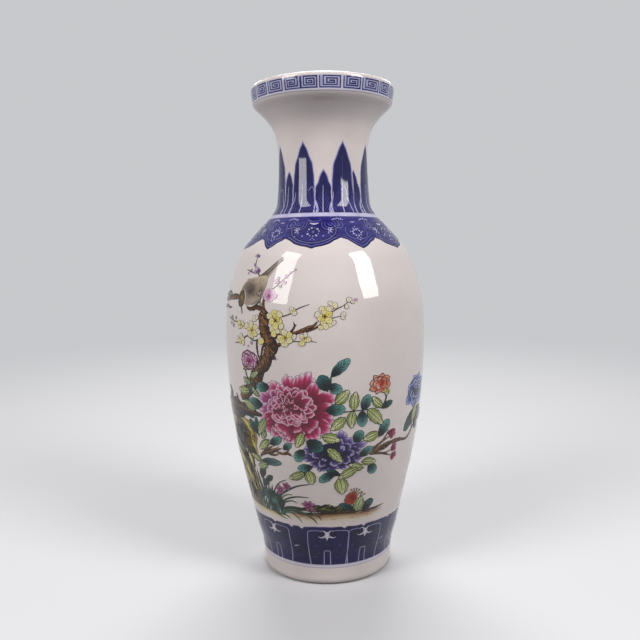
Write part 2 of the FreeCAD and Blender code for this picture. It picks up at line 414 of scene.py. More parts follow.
def course(points, step=0.8):
    """Smooth line through the points, step mm apart, and its length."""
    p = np.array(points, float)
    if len(p) > 2:
        q = np.concatenate([[2 * p[0] - p[1]], p, [2 * p[-1] - p[-2]]])
        out = []
        s = np.linspace(0, 1, 10, endpoint=False)[:, None]
        for i in range(len(p) - 1):
            a, b, c, d = q[i:i + 4]
            out.append(0.5 * (2 * b + (c - a) * s + (2 * a - 5 * b + 4 * c - d) * s ** 2
                + (3 * b - a - 3 * c + d) * s ** 3))
        p = np.concatenate(out + [p[-1:]])
    k = per_degree(p[:, 1])
    ds = np.hypot(np.diff(p[:, 0]) * (k[1:] + k[:-1]) / 2, np.diff(p[:, 1]))
    s = np.concatenate([[0], np.cumsum(ds)])
    n = max(int(s[-1] / step) + 1, 2) + 1
    t = np.linspace(0, s[-1], n)
    return np.interp(t, s, p[:, 0]), np.interp(t, s, p[:, 1]), s[-1]


# ---------------------------------------------------------------- materials
def toolkit(tree):
    """Functions that add a node with its inputs set, and that join two nodes."""
    def new(kind, **values):
        node = tree.nodes.new("ShaderNode" + kind)
        for name, value in values.items():
            node.inputs[name.replace("_", " ")].default_value = value
        return node

    def link(source, output, target, name):
        tree.links.new(source.outputs[output], target.inputs[name])

    return new, link


def new_material(name):
    """Material with its shader node, and the functions for more nodes."""
    mat = bpy.data.materials.new(name)
    mat.use_nodes = True
    tree = mat.node_tree
    return mat, tree.nodes["Principled BSDF"], *toolkit(tree)


def operate(node, operation):
    """The node, set to this operation."""
    node.operation = operation
    return node


def coat_material(slot, made={}):
    """Glossy fired coat: the painted colour with fine pooling and an uneven skin."""
    if slot in made:
        return made[slot]
    made[slot], shader, new, link = new_material(slot + "_fired")
    enamel = slot == ENAMEL
    place = new("TexCoord")
    tint = new("Attribute")
    tint.attribute_name = "tint"
    cloud = new("TexNoise", Scale=45.0, Detail=4.0)
    grain = new("TexNoise", Scale=1500.0 if enamel else 900.0, Detail=3.0)
    skin = new("TexNoise", Scale=110.0, Detail=2.0)
    pooled = new("MapRange", From_Min=0.3, From_Max=0.7, To_Min=0.955, To_Max=1.02)
    flecked = new("MapRange", From_Min=0.3, From_Max=0.7,
                  To_Min=0.86 if enamel else 0.975, To_Max=1.12 if enamel else 1.01)
    gloss = new("MapRange", To_Min=0.09 if enamel else 0.025, To_Max=0.16 if enamel else 0.05)
    both = operate(new("Math"), "MULTIPLY")
    scale = operate(new("VectorMath"), "SCALE")
    bump = new("Bump", Strength=0.12, Distance=0.0002)
    for noise in (cloud, grain, skin):
        link(place, "Object", noise, "Vector")
    for noise, target, name in ((cloud, pooled, "Value"), (grain, flecked, "Value"),
                                (cloud, gloss, "Value"), (skin, bump, "Height")):
        link(noise, "Fac", target, name)
    link(pooled, "Result", both, 0)
    link(flecked, "Result", both, 1)
    link(tint, "Color", scale, 0)
    link(both, "Value", scale, "Scale")
    link(scale, "Vector", shader, "Base Color")
    link(gloss, "Result", shader, "Roughness")
    link(bump, "Normal", shader, "Normal")
    shader.inputs["IOR"].default_value = 1.52
    shader.inputs["Specular IOR Level"].default_value = 0.48
    return made[slot]


def two_tones(ramp, *stops):
    """Sets both ends of a colour ramp, each (place, colour)."""
    for element, (place, colour) in zip(ramp.color_ramp.elements, stops):
        element.position, element.color = place, (*colour, 1)


def clay_material(name, low, high, grit):
    """Unglazed biscuit: matte, speckled, with a fine gritty skin."""
    mat, shader, new, link = new_material(name)
    place = new("TexCoord")
    speck = new("TexNoise", Scale=grit, Detail=6.0, Roughness=0.65)
    ramp = new("ValToRGB")
    two_tones(ramp, (0.3, low), (0.62, high))
    rough = new("MapRange", To_Min=0.7, To_Max=0.95)
    bump = new("Bump", Strength=0.4, Distance=0.0002)
    link(place, "Object", speck, "Vector")
    for target, name in ((ramp, "Fac"), (rough, "Value"), (bump, "Height")):
        link(speck, "Fac", target, name)
    link(ramp, "Color", shader, "Base Color")
    link(rough, "Result", shader, "Roughness")
    link(bump, "Normal", shader, "Normal")
    return mat


def dress(node, mat):
    """Gives a CAD node this material."""
    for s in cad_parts[node].material_slots:
        s.link = "OBJECT"
        s.material = mat


# ---------------------------------------------------------------- glaze coats
def lathe(name, slot, outer, inner, nodes, segments=240):
    """Closed coat of revolution between two lines of (radius, height) points."""
    ring = np.concatenate([outer, inner[::-1]])
    ways = np.roll(ring, -1, 0) - np.roll(ring, 1, 0)
    out = np.stack([ways[:, 1], -ways[:, 0]], -1)
    out /= np.maximum(np.hypot(out[:, 0], out[:, 1]), 1e-9)[:, None]
    n, m = segments, len(ring)
    t = np.linspace(0, 2 * np.pi, n, endpoint=False)[:, None]
    p = np.stack([ring[:, 0] * np.sin(t), -ring[:, 0] * np.cos(t), ring[:, 1] + 0 * t], -1)
    nor = np.stack([out[:, 0] * np.sin(t), -out[:, 0] * np.cos(t), out[:, 1] + 0 * t], -1)
    i, j = np.meshgrid(np.arange(n), np.arange(m), indexing="ij")
    i2, j2 = (i + 1) % n, (j + 1) % m
    faces = np.stack([i * m + j, i2 * m + j, i2 * m + j2, i * m + j2], -1).reshape(-1, 4)
    flat = p.reshape(-1, 3)
    height = np.clip(flat[:, 2] / HEIGHT, 0, 1)
    tint = mix(WHITE, WHITE * np.array([1.0, 0.985, 0.985]), 0.5 + 0.5 * np.sin(height * 9.0))
    uv = np.stack([np.repeat(np.arange(n) / n, m), np.tile(np.linspace(0, 1, m), n)], -1)
    item = make_object(name, flat * MM, faces, tint, uv * 0.98 + 0.01, nor.reshape(-1, 3))
    item.data.materials.append(coat_material(slot))
    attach(item, "root")
    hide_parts(*nodes)


def even(line, step):
    """The line's points spread evenly, about a step apart."""
    s = np.concatenate([[0], np.cumsum(np.hypot(*np.diff(line, axis=0).T))])
    t = np.linspace(0, s[-1], int(s[-1] / step) + 2)
    return np.stack([np.interp(t, s, line[:, 0]), np.interp(t, s, line[:, 1])], -1)


def outer_line(depth):
    """Outside from the bare foot ring to the lip's crest, moved inward by depth."""
    low = quarter(FOOT_RADIUS - FOOT_ROUND, FOOT_ROUND - GLAZE, FOOT_ROUND - depth, -80, -4)
    low = low[low[:, 1] > BARE]
    start = np.array([[np.interp(BARE, low[:2, 1], low[:2, 0]), BARE]])
    side = OUT_P - np.stack([OUT_T[:, 1], -OUT_T[:, 0]], -1) * depth
    crest = quarter(LIP_RADIUS - LIP, LIP_HEIGHT, LIP - depth, 6, 90)
    return np.concatenate([start, low, side, crest])


lathe("outer_glaze_coat", "outer_glaze", even(outer_line(0), 1.25), even(outer_line(GLAZE), 4.0),
    ["outer_glaze"])


def inner_line(cover):
    """Inside of the wall from the floor's middle to the lip's crest."""
    corner = quarter(INNER_FOOT - CORNER, FLOOR + CORNER, CORNER - cover, -90, 0, 10)
    stops = [(np.array([INNER_FOOT, FLOOR + CORNER]), np.array([0.0, 1.0]))]
    for (z, r, lean), wall in zip(OUTSIDE[2:], WALL):
        stops.append(stop(r, z, lean, wall - GLAZE))
    stops.append(stop(LIP_RADIUS, 293.7, 4, 3.4 - GLAZE))
    stops.append(stop(LIP_RADIUS, LIP_HEIGHT, 0, 2 * LIP - GLAZE))
    p, w = biarcs(stops)
    side = p - np.stack([w[:, 1], -w[:, 0]], -1) * cover
    crest = quarter(LIP_RADIUS - LIP, LIP_HEIGHT, LIP - GLAZE + cover, 174, 90, 6)
    return np.concatenate([[[CENTRE, FLOOR + cover]], corner, side[1:], crest])


lathe("inner_glaze_coat", "inner_glaze", even(inner_line(0), 4.0), even(inner_line(GLAZE), 1.6),
    ["inner_glaze"], 160)

# ---------------------------------------------------------------- mouth band
fret = Coat("mouth_fret", COBALT_SLOT)
FRET_INK, FRET_WIDTH = hue(36, 34, 104), 0.76
FRET_LOW, FRET_HIGH = 289.75, 298.2
# Path of one square spiral: share of the unit's width, height
SPIRAL = [(0.0, 297.0), (0.0, 291.1), (1.0, 291.1), (1.0, 297.1), (0.17, 297.1), (0.17, 292.4), (0.84, 292.4),
    (0.84, 295.8), (0.34, 295.8), (0.34, 293.5), (0.70, 293.5), (0.70, 294.6), (0.50, 294.6)]


def fret_ground(A, Z, t):
    """Pale wash behind the key pattern, soft at both edges."""
    soft = np.clip((FRET_HIGH - Z) / 1.0, 0, 1) * np.clip((Z - FRET_LOW) / 0.5, 0, 1)
    return mix(WHITE, hue(172, 174, 214), 0.55 * soft * (0.85 + 0.15 * wobble(A * 0.9, 2.0)))


fret.line_round(289.3, FRET_LOW, mix(WHITE, hue(120, 122, 176), 0.65))
fret.level()
fret.band(FRET_LOW, FRET_HIGH, fret_ground, rows=15)
fret.level()


def fret_line(points):
    """Straight-sided line of the key pattern through the given corners."""
    for i, ((a0, z0), (a1, z1)) in enumerate(zip(points, points[1:])):
        k = float(per_degree(z0))
        half = FRET_WIDTH / 2 * (1 + 0.12 * math.sin(a0 * 1.7 + z1))
        if abs(z1 - z0) < abs(a1 - a0):
            lo, hi = min(a0, a1) - half / k, max(a0, a1) + half / k
            n = max(int((hi - lo) * k / 0.9) + 2, 2)
            a = np.linspace(lo, hi, n)[:, None] * np.ones((1, 2))
            z = np.linspace(z0, z1, n)[:, None] + np.array([[-half, half]])
        else:
            lo, hi = min(z0, z1) - half, max(z0, z1) + half
            n = max(int((hi - lo) / 1.2) + 2, 2)
            a = np.linspace(a0, a1, n)[:, None] + np.array([[-half / k, half / k]])
            z = np.linspace(lo, hi, n)[:, None] * np.ones((1, 2))
        fret.marks.append((a, z, np.broadcast_to(FRET_INK, a.shape + (3,)), fret.lift + 0.002 * (i % 2)))


def fret_unit(left, right, mirrored):
    """One running square spiral between two angles, joined to its neighbour."""
    span = right - left
    n = int(span * 0.78 / 0.9) + 2
    A, Z, _ = strip(np.linspace(left - 0.15, right + 0.15, n), np.full(n, 290.5), np.full(n, 297.6), 9)
    cloud = wobble(A * 0.7, left) * wobble(Z * 1.7, 1.0)
    tone = mix(hue(198, 200, 226), hue(152, 154, 206), 0.5 + 0.5 * cloud)
    fret.marks.append((A, Z, tone, fret.base + 0.004))
    fret.lift = fret.base + 0.010
    inset = 0.35
    inner = span - 2 * inset
    fret_line([(right - inset - s * inner if mirrored else left + inset + s * inner, z) for s, z in SPIRAL])


units = [(-62, -48), (-46, -31.5), (-29.5, -16.5), (-16.5, -4), (-2.5, 13.5), (15.5, 29.5), (31, 47.5),
    (49, 63)]
for i in range(15):
    left = 65 + i * 15.53
    units.append((left, left + 13.9 + 0.5 * math.sin(i * 2.1)))
for i, (left, right) in enumerate(units):
    fret_unit(left, right, mirrored=i == 2)
fret.finish()

# ---------------------------------------------------------------- neck leaves
TALL = [-68, -25, 24, 66, 111, 157, 203, 248]
SHORT = [-47, 0, 39.5, 88, 134, 180, 226, 270]
NECK_LOW, HATCH_LOW, VEIN_LOW = 221.9, 222.6, 222.2
leaves = Coat("neck_leaves", COBALT_SLOT)


def leaf_shape(centre, table, inset, tone):
    """Upright leaf on the neck; the table lists (height, half width in degrees)."""
    z, h = np.array(table, float)[::-1].T
    tip = z[-1] - inset * 2.2
    zz = np.linspace(NECK_LOW, tip, int((tip - NECK_LOW) / 0.9) + 2)
    half = np.interp(zz + inset * 0.6, z, h) - inset / per_degree(zz)
    half = np.maximum(half * (1 + 0.02 * wobble(zz * 0.8, centre)), 0.04)
    half[-1] = 0.04
    s = np.linspace(-1, 1, 13)
    A = centre + half[:, None] * s
    Z = zz[:, None] + 0 * s
    rgb = tone(A, Z, s) if callable(tone) else tone
    leaves.lay(A, Z, rgb)


tall_table = [(264, 0), (262.2, 1.8), (260, 4.6), (257.5, 6.4), (255, 8.2), (252, 11), (250, 12), (245, 13.2),
    (240, 13.9), (236, 14.2), (221, 14.2)]
short_table = [(247.4, 0), (246, 1.9), (245, 3.2), (243, 5.0), (240, 6.6), (238.4, 8.4), (237, 10.2),
    (234, 10.8), (230, 10.8), (228, 9.2), (226, 8.2), (224, 7.6), (221, 7.4)]


def ink(A, Z, s):
    """Dark blue of a leaf, uneven and lighter at its edges."""
    shade = 0.35 + 0.25 * wobble(Z * 0.5 + A * 0.2, 3.0)
    tone = mix(NAVY, COBALT, shade * np.clip((262 - Z) / 22, 0.1, 1))
    return mix(tone, COBALT, 0.5 * (np.abs(s) > 0.86))


leaves.band(NECK_LOW, 236.6, lambda a, z, t: mix(COBALT, NAVY, 0.45 + 0.3 * wobble(a * 0.4, 5.0)))
above_band = (leaves.lift - leaves.base) / leaves.step
for centres, table, level, inset, share in (
        (SHORT, short_table, 0, 0.75, 0.3), (TALL, tall_table, 5, 0.8, 0.25)):
    for c in centres:
        leaves.level(above_band + level)
        leaf_shape(c, table, -0.5, mix(WHITE, WASH, 0.28))
        leaf_shape(c, table, -0.15, mix(WHITE, WASH, 0.8))
        leaf_shape(c, table, 0.2, mix(COBALT, BLUE, share))
        leaf_shape(c, table, inset, ink)
# Slanting brush hatching between the leaves, left and right of each rib
for c in SHORT + TALL:
    tall = c in TALL
    for side in (-1, 1):
        for j in range(13 if tall else 10):
            a = c + side * (0.8 + 0.95 * j)
            rise = 2.6
            top = HATCH_LOW + ((19.0 if tall else 13.5) - 0.9 * j)
            for z in np.arange(HATCH_LOW + (j % 3) * 0.8, top - rise, 2.9):
                leaves.level(above_band + 10 + (j % 2))
                leaves.stroke([(a, z), (a + side * 2.3, z + rise)], 0.26, mix(COBALT, BLUE, 0.72),
                    ends=(0.3, 0.3), step=1.2)
for c in SHORT:
    leaves.level(above_band + 13)
    for side in (-1, 1):
        line = shifted(c, [(11.2, 234.6), (11.1, 231.6), (9.6, 229.2), (7.6, 226.8), (6.6, 224.4),
            (6.3, VEIN_LOW)], side)
        leaves.soft_stroke(line, [0.3, 0.45, 0.6, 0.65, 0.65], mix(LAVENDER, WASH, 0.35), COBALT,
            ends=(0.3, 1))
    leaves.level(above_band + 14)
    leaves.soft_stroke(shifted(c, [(-0.6, 238.3), (-0.9, 230), (-0.9, VEIN_LOW)]), [0.3, 0.55, 0.6],
        mix(LAVENDER, WASH, 0.3), COBALT, ends=(0.2, 1))
    leaves.stroke(shifted(c, [(-18.5, 235), (-14, 237.4), (-12, 235.6), (-11.2, 233.6)]), 0.36,
        mix(LAVENDER, BLUE, 0.45), ends=(0.3, 0.6))
for c in TALL:
    leaves.level(above_band + 13)
    leaves.stroke(shifted(c, [(-0.3, 256), (-0.5, 240)]), 0.3, mix(COBALT, BLUE, 0.7), ends=(0.2, 1))
    leaves.soft_stroke(shifted(c, [(-0.5, 240), (-1.6, 230), (-2.0, VEIN_LOW)]), [0.3, 0.5, 0.7],
        mix(LAVENDER, WASH, 0.3), COBALT, ends=(0.3, 1))
    if c != -25:
        leaves.soft_stroke(shifted(c, [(11.5, 246), (13.2, 238), (14.6, 231), (13.6, 225), (13.4, VEIN_LOW)]),
            [0.25, 0.4, 0.5, 0.4], mix(LAVENDER, BLUE, 0.4), COBALT, ends=(0.2, 1))
leaves.finish()

ring = Coat("neck_line", COBALT_SLOT)


def ring_tone(a, z, t):
    """Pale blue line, darker at both edges."""
    share = 0.25 + 0.25 * wobble(np.radians(a) * 14, 3.0) + 0.25 * (np.abs(t - 0.5) > 0.4)
    return mix(mix(LAVENDER, WHITE, 0.35), WASH, share)


ring.band(lambda a: 219.5 + 0.12 * wobble(np.radians(a) * 9, 2.0), 222.1, ring_tone, rows=4)
ring.finish()

# ---------------------------------------------------------------- collar
collar = Coat("shoulder_collar", COBALT_SLOT)
LAPPET_TOP, LAPPET_ENDS = 219.0, 206.9
# Lower edges of the wide and the narrow lappets: share of the half width, height
BIG_EDGE = [(-1, 206.8), (-0.86, 206.2), (-0.74, 205.2), (-0.58, 203.6), (-0.34, 202.4), (-0.13, 201.8),
    (0, 200.8), (0.13, 201.8), (0.34, 202.3), (0.58, 203.7), (0.74, 205.4), (0.86, 206.2), (1, 206.9)]
SMALL_EDGE = [(-1, 206.9), (-0.7, 206.0), (-0.5, 204.3), (-0.26, 202.4), (-0.1, 201.5), (0, 200.7),
    (0.12, 201.5), (0.32, 202.5), (0.56, 204.4), (0.78, 205.4), (1, 206.4)]
LAPPETS = [(-92, -51, "B"), (-51, -29, "S"), (-29, 12, "B"), (12, 39, "S"), (39, 77, "B")]
left = 77.0
for kind, span in ("S", 31.5), ("B", 46.0), ("S", 30.5), ("B", 49.0), ("S", 34.0):
    LAPPETS.append((left, left + span, kind))
    left += span


def lappet_line(a0, a1, kind, f=1.0):
    """Lower edge of one lappet, drawn in towards its middle by f."""
    edge = np.array(BIG_EDGE if kind == "B" else SMALL_EDGE)
    s = np.linspace(-1, 1, 46)
    z = np.interp(s, edge[:, 0], edge[:, 1])
    mid, half = (a0 + a1) / 2, (a1 - a0) / 2
    return mid + s * half * f, LAPPET_TOP - (LAPPET_TOP - z) * f


def collar_edge(a):
    """Height of the collar's lower edge all round."""
    aa = (np.asarray(a, float) + 92) % 360 - 92
    z = np.full(aa.shape, LAPPET_ENDS)
    for a0, a1, kind in LAPPETS:
        x, y = lappet_line(a0, a1, kind)
        inside = (aa >= a0) & (aa <= a1)
        z[inside] = np.interp(aa[inside], x, y)
    return z


def collar_tone(a, z, t):
    """Cloudy blue with a dark lower edge."""
    tone = mix(COBALT, BLUE, 0.16 + 0.30 * wobble(z * 1.9 + np.sin(np.radians(a) * 7), 4.0))
    return mix(tone, NAVY, 0.75 * np.clip(1 - np.abs(z - collar_edge(a)) / 1.1, 0, 1))


collar.band(collar_edge, 219.6, collar_tone, cell=0.7, sectors=18)
above_band = (collar.lift - collar.base) / collar.step
PALE = mix(mix(LAVENDER, WHITE, 0.7), BLUE, 0.2)
SOFT = mix(mix(LAVENDER, WASH, 0.45), BLUE, 0.3)
MID = mix(BLUE, WASH, 0.4)


# Arch over the flower of a wide lappet: share of the half width, height
ARCH = [(-0.86, 212.4), (-0.82, 209.6), (-0.58, 206.4), (-0.25, 204.6), (0, 204.0), (0.25, 204.6),
    (0.58, 206.4), (0.82, 209.6), (0.86, 212.4)]


def curl(a, z, rx, rz, start, end, width, tone, n=11):
    """Arc of an oval in the collar; half sizes in mm, start and end in degrees."""
    k = float(per_degree(z))
    t = np.radians(np.linspace(start, end, n))
    collar.stroke(list(zip(a + rx * np.cos(t) / k, z + rz * np.sin(t))), width, tone, ends=(0.4, 0.4))


for a0, a1, kind in LAPPETS:
    mid, half = (a0 + a1) / 2, (a1 - a0) / 2
    collar.level(above_band)
    rows = [(0.985, 0.8, NAVY), (0.935, 0.3, MID), (0.895, 0.45, NAVY), (0.845, 0.22, mix(BLUE, WASH, 0.15)),
        (0.80, 0.5, mix(NAVY, COBALT, 0.3))]
    if kind == "S":
        rows += [(0.74, 0.2, mix(BLUE, COBALT, 0.3)), (0.68, 0.4, mix(NAVY, COBALT, 0.5)),
            (0.62, 0.2, mix(BLUE, COBALT, 0.3)), (0.5, 0.34, mix(NAVY, COBALT, 0.5))]
    for f, w, tone in rows:
        x, y = lappet_line(a0, a1, kind, f)
        collar.stroke(list(zip(x[1:-1][::2], y[1:-1][::2])), w, tone)
    if kind == "B":
        # Ground of fine arcs, a curl at each upper corner and a ring flower
        collar.level(above_band + 5)
        collar.patch((mid, 210.6), oval(mid, 210.4, 10.5, 5.4), mix(NAVY, COBALT, 0.25),
            mix(COBALT, BLUE, 0.12))
        for j in range(5):
            collar.level(above_band + 6)
            curl(mid, 210.4, 11.8 - 1.7 * j, 6.0 - 0.9 * j, -160, -20, 0.22, mix(COBALT, BLUE, 0.65))
        for side in (-1, 1):
            c = mid + side * half * 0.66
            span = (-200, 70) if side > 0 else (110, 380)
            for j, (r, w, tone) in enumerate(((5.4, 0.5, NAVY), (4.6, 0.26, MID), (3.9, 0.5, NAVY),
                    (3.0, 0.24, MID), (2.3, 0.5, NAVY), (1.2, 0.34, mix(BLUE, WASH, 0.2)))):
                collar.level(above_band + 7 + j % 3)
                curl(c, 215.0, r * 1.08, r * 0.78, *span, w, tone)
        collar.level(above_band + 11)
        arch = [(mid + half * x, z) for x, z in ARCH]
        for f, w, tone in ((1.05, 0.7, NAVY), (0.945, 0.8, NAVY), (1.0, 0.34, MID)):
            collar.stroke([(mid + (a - mid) * f, 212.4 + (z - 212.4) * f) for a, z in arch], w, tone,
                ends=(0.4, 0.4))
        for j in range(11):
            t = j * 2 * math.pi / 11 + 0.2
            collar.level(above_band + 13)
            collar.dot(mid + 4.4 * math.cos(t), 210.3 + 2.5 * math.sin(t), 0.48 + 0.24 * math.sin(j * 2.3),
                PALE, SOFT, squash=0.75)
        collar.dot(mid, 210.3, 1.0, mix(BLUE, WASH, 0.3), mix(COBALT, BLUE, 0.5))
        for side in (-1, 1):
            x = mid + side * half * 0.60
            for dx, dz, ex, ez in ((-0.4, 0, 3.4, 0.7), (0.2, -0.2, 2.4, -1.3), (-0.9, 0.5, 0.4, 2.0),
                    (-0.8, -0.5, -0.3, -1.9), (0.8, 0.8, 2.8, 2.0)):
                collar.level(above_band + 13)
                collar.stroke([(x + side * dx, 211 + dz), (x + side * (dx + ex) / 2, 211.2 + (dz + ez) / 2),
                    (x + side * ex, 211 + ez)], [0.8, 0.6, 0.3], mix(SOFT, PALE, 0.4), ends=(0.5, 0.2),
                    step=1.0)
            collar.dot(x - side * 4.6, 208.0, 0.4, SOFT, n=4)
            collar.dot(x + side * 1.0, 207.8, 0.3, SOFT, n=4)
        collar.stroke(shifted(mid, [(-4.2, 215.6), (0, 215.0), (4.2, 215.6)]), [0.3, 1.0, 0.3], PALE,
            ends=(0.2, 0.2))
        collar.stroke(shifted(mid, [(-6.5, 217.6), (0, 216.6), (6.5, 217.6)]), 0.24, MID, ends=(0.3, 0.3))
        for dx, dz in ((-1.2, 205.8), (1.2, 205.8), (0, 206.6)):
            collar.dot(mid + dx, dz, 0.3, SOFT, n=4)
    else:
        collar.level(above_band + 9)
        for j, (r, w, tone) in enumerate(((5.6, 0.26, MID), (4.8, 0.5, NAVY),
                (4.1, 0.22, mix(BLUE, COBALT, 0.2)))):
            collar.level(above_band + 9 + j)
            curl(mid, 210.6, r * 1.2, r * 0.82, -215, 35, w, tone, 13)
        for j in range(9):
            t = j * 2 * math.pi / 9
            collar.level(above_band + 13)
            collar.dot(mid + 3.4 * math.cos(t), 209.8 + 1.8 * math.sin(t), 0.5 + 0.15 * math.sin(j * 3.1),
                PALE, SOFT, n=4)
        for dx, dz in ((-2.2, 212.3), (0, 213.2), (2.2, 212.3), (-5.0, 210.4), (5.0, 210.4), (0, 211.9),
                (-1.2, 206.8), (1.2, 206.8), (0, 205.6)):
            collar.dot(mid + dx, dz, 0.4, PALE, SOFT, squash=0.7, n=4)
        collar.stroke(shifted(mid, [(-2.6, 216.3), (0, 216.0), (2.6, 216.4)]), [0.3, 0.7, 0.3], SOFT,
            ends=(0.2, 0.2))
    # Berries in the corners between the lappets
    for j in range(7):
        collar.level(above_band + 12)
        collar.dot(a1 - 4.8 + 1.6 * j, 217.5 + 0.8 * math.sin(math.pi * j / 6), 0.34 + 0.14 * (j % 2),
            mix(SOFT, PALE, 0.5), SOFT, n=4)
    for j in range(3):
        curl(a1, 214.6, 2.6 - 0.8 * j, 2.0 - 0.6 * j, -200, 60, 0.3, (MID, NAVY, MID)[j])
collar.finish()

# ---------------------------------------------------------------- foot band
foot = Coat("foot_band", COBALT_SLOT)
# Dips in the band's upper edge: angle, width and depth
NOTCHES = [(-42, 1.1, 1.0), (-27, 1.3, 1.5), (-19, 1.3, 1.6), (12, 1.0, 1.2), (27, 0.7, 2.2),
    (50, 1.2, 1.1)] + [(70 + 23.5 * i, 1.5, 0.9 + 0.4 * math.sin(i * 2.7)) for i in range(10)]


def foot_top(a):
    """Height of the foot band's upper edge, with its dips."""
    z = 38.6 + 0.35 * wobble(np.radians(a) * 8, 1.0)
    for c, w, d in NOTCHES:
        gap = (np.asarray(a) - c + 180) % 360 - 180
        z = z - d * np.exp(-(gap / w) ** 2)
    return z


def foot_tone(a, z, t):
    """Uneven dark blue with a thin pale upper edge."""
    tone = mix(hue(12, 9, 58), hue(24, 18, 88), 0.45 + 0.4 * wobble(np.radians(a) * 6 + z * 0.15, 2.0))
    return mix(tone, mix(BLUE, WHITE, 0.1), 0.5 * (t > 0.985))


foot.band(13.0, foot_top, foot_tone)
foot.line_round(12.0, 13.0, mix(LAVENDER, WHITE, 0.4))
foot.line_round(10.8, 11.3, mix(WHITE, WASH, 0.75))
RESERVE = mix(LAVENDER, WASH, 0.45)
above_band = (foot.lift - foot.base) / foot.step


def ruyi_star(c):
    """Hanging cloud-head: a pointed body, two long drooping arms and dark eyes."""
    tone = mix(LAVENDER, WHITE, 0.6)
    for side in (-1, 1):
        foot.dot(c + side * 4.6, 34.1, 1.5, hue(6, 5, 34), hue(8, 6, 44), squash=0.8, n=4)
    for side in (-1, 1):
        foot.soft_stroke(shifted(c, [(0.3, 33.6), (2.4, 32.0), (5.0, 31.6), (6.6, 32.4)], side),
            [1.9, 1.1, 0.7, 0.4], tone, NAVY, ends=(1, 0.3))
        foot.soft_stroke(shifted(c, [(0.3, 33.8), (1.6, 35.4), (2.6, 36.1), (4.6, 36.3)], side),
            [1.5, 0.9, 0.5, 0.3], tone, NAVY, ends=(1, 0.3))
    foot.soft_stroke([(c, 35.4), (c, 33.2), (c, 29.8)], [1.8, 3.4, 0.6], tone, NAVY, ends=(0.8, 0.2))


def panel(left, right):
    """One panel of the foot band: frame, cloud-head, stem and scrolls."""
    mid = (left + right) / 2 - 0.8
    foot.level(above_band)
    for side, x in ((1, left), (-1, right)):
        line = shifted(x, [(0.9, 13.2), (0.2, 18), (-0.2, 26), (0, 32.6), (0.5, 35.0), (2.2, 35.8)], side)
        line += shifted(mid, [(-6.4, 36.2), (-3.6, 35.4)], side)
        foot.soft_stroke(line, [0.62, 0.64, 0.6, 0.56, 0.5, 0.42, 0.34], mix(RESERVE, BLUE, 0.2), NAVY,
            ends=(1, 0.4))
    foot.level(above_band + 3)
    ruyi_star(mid)
    foot.level(above_band + 3)
    for side in (-1, 1):
        foot.soft_stroke(shifted(mid, [(2.7, 13.2), (2.5, 18), (2.35, 21.8), (1.9, 22.5), (-0.2, 22.6)],
            side), 0.55, mix(RESERVE, BLUE, 0.15), NAVY)
    for dx, dz, w, turn in ((-9.2, 25.6, 1.7, 40), (9.6, 26.2, 1.9, 20), (-9.6, 18.4, 1.3, -30),
            (8.6, 18.2, 1.4, 30), (-6.4, 20.8, 1.1, 60), (5.6, 28.2, 0.9, -20), (-5.8, 29.0, 0.8, 30),
            (10.4, 14.8, 0.9, 0)):
        foot.dot(mid + dx, dz, w * 0.6, mix(COBALT, BLUE, 0.55), mix(NAVY, COBALT, 0.5), squash=0.6,
            turn=turn)
        foot.stroke([(mid + dx - w, dz - 0.5), (mid + dx, dz + 0.3), (mid + dx + w, dz + 0.1)], 0.34,
            mix(COBALT, BLUE, 0.6), ends=(0.3, 0.2), step=1.0)


PANELS = [(-57, -30), (-15, 15.5), (15.5, 43.5)]
x = 57.0
for w, gap in ((30, 15), (32.5, 0), (30, 15), (30, 15), (32.5, 0), (30, 16)):
    PANELS.append((x, x + w))
    x += w + gap
for left, right in PANELS:
    panel(left, right)
for c in (-22.5, 50, 94.5, 196, 240, 288):
    foot.level(above_band)
    foot.soft_stroke(shifted(c, [(-4.4, 24.2), (-2.0, 24.8), (0.2, 25.3)]), [0.9, 0.8, 0.5], RESERVE, NAVY,
        ends=(0.6, 0.4))
    foot.stroke(shifted(c, [(-3.5, 18), (0, 19.0), (3.5, 18)]), 0.4, mix(NAVY, BLUE, 0.4), ends=(0.3, 0.3))
foot.finish()

# ---------------------------------------------------------------- enamels
def along(a0, z0, a1, z1, bend, t):
    """Places along a bowed line, and the way across it, in degrees and mm."""
    k = float(per_degree((z0 + z1) / 2))
    dx, dz = (a1 - a0) * k, z1 - z0
    x = dx * t - dz * bend * 2 * t * (1 - t)
    z = dz * t + dx * bend * 2 * t * (1 - t)
    tx = dx - dz * bend * 2 * (1 - 2 * t)
    tz = dz + dx * bend * 2 * (1 - 2 * t)
    size = np.hypot(tx, tz)
    return x, z, -tz / size, tx / size, k


# Leaf colours: dark, middle, light and ink
TEAL = hues((6, 44, 52), (34, 106, 108), (142, 188, 180), (4, 26, 34))
GREEN = hues((140, 158, 76), (206, 214, 140), (232, 230, 192), (50, 56, 26))
PALE_GREEN = hues((138, 158, 106), (186, 198, 146), (214, 214, 180), (70, 80, 52))
DARK_GREEN = hues((14, 30, 26), (30, 62, 54), (80, 110, 96), (10, 22, 20))
DARK_TEAL = hues((6, 28, 36), (20, 64, 72), (84, 136, 136), (4, 20, 24))
GREY_TEAL = hues((44, 84, 88), (78, 118, 118), (128, 158, 152), (36, 60, 62))


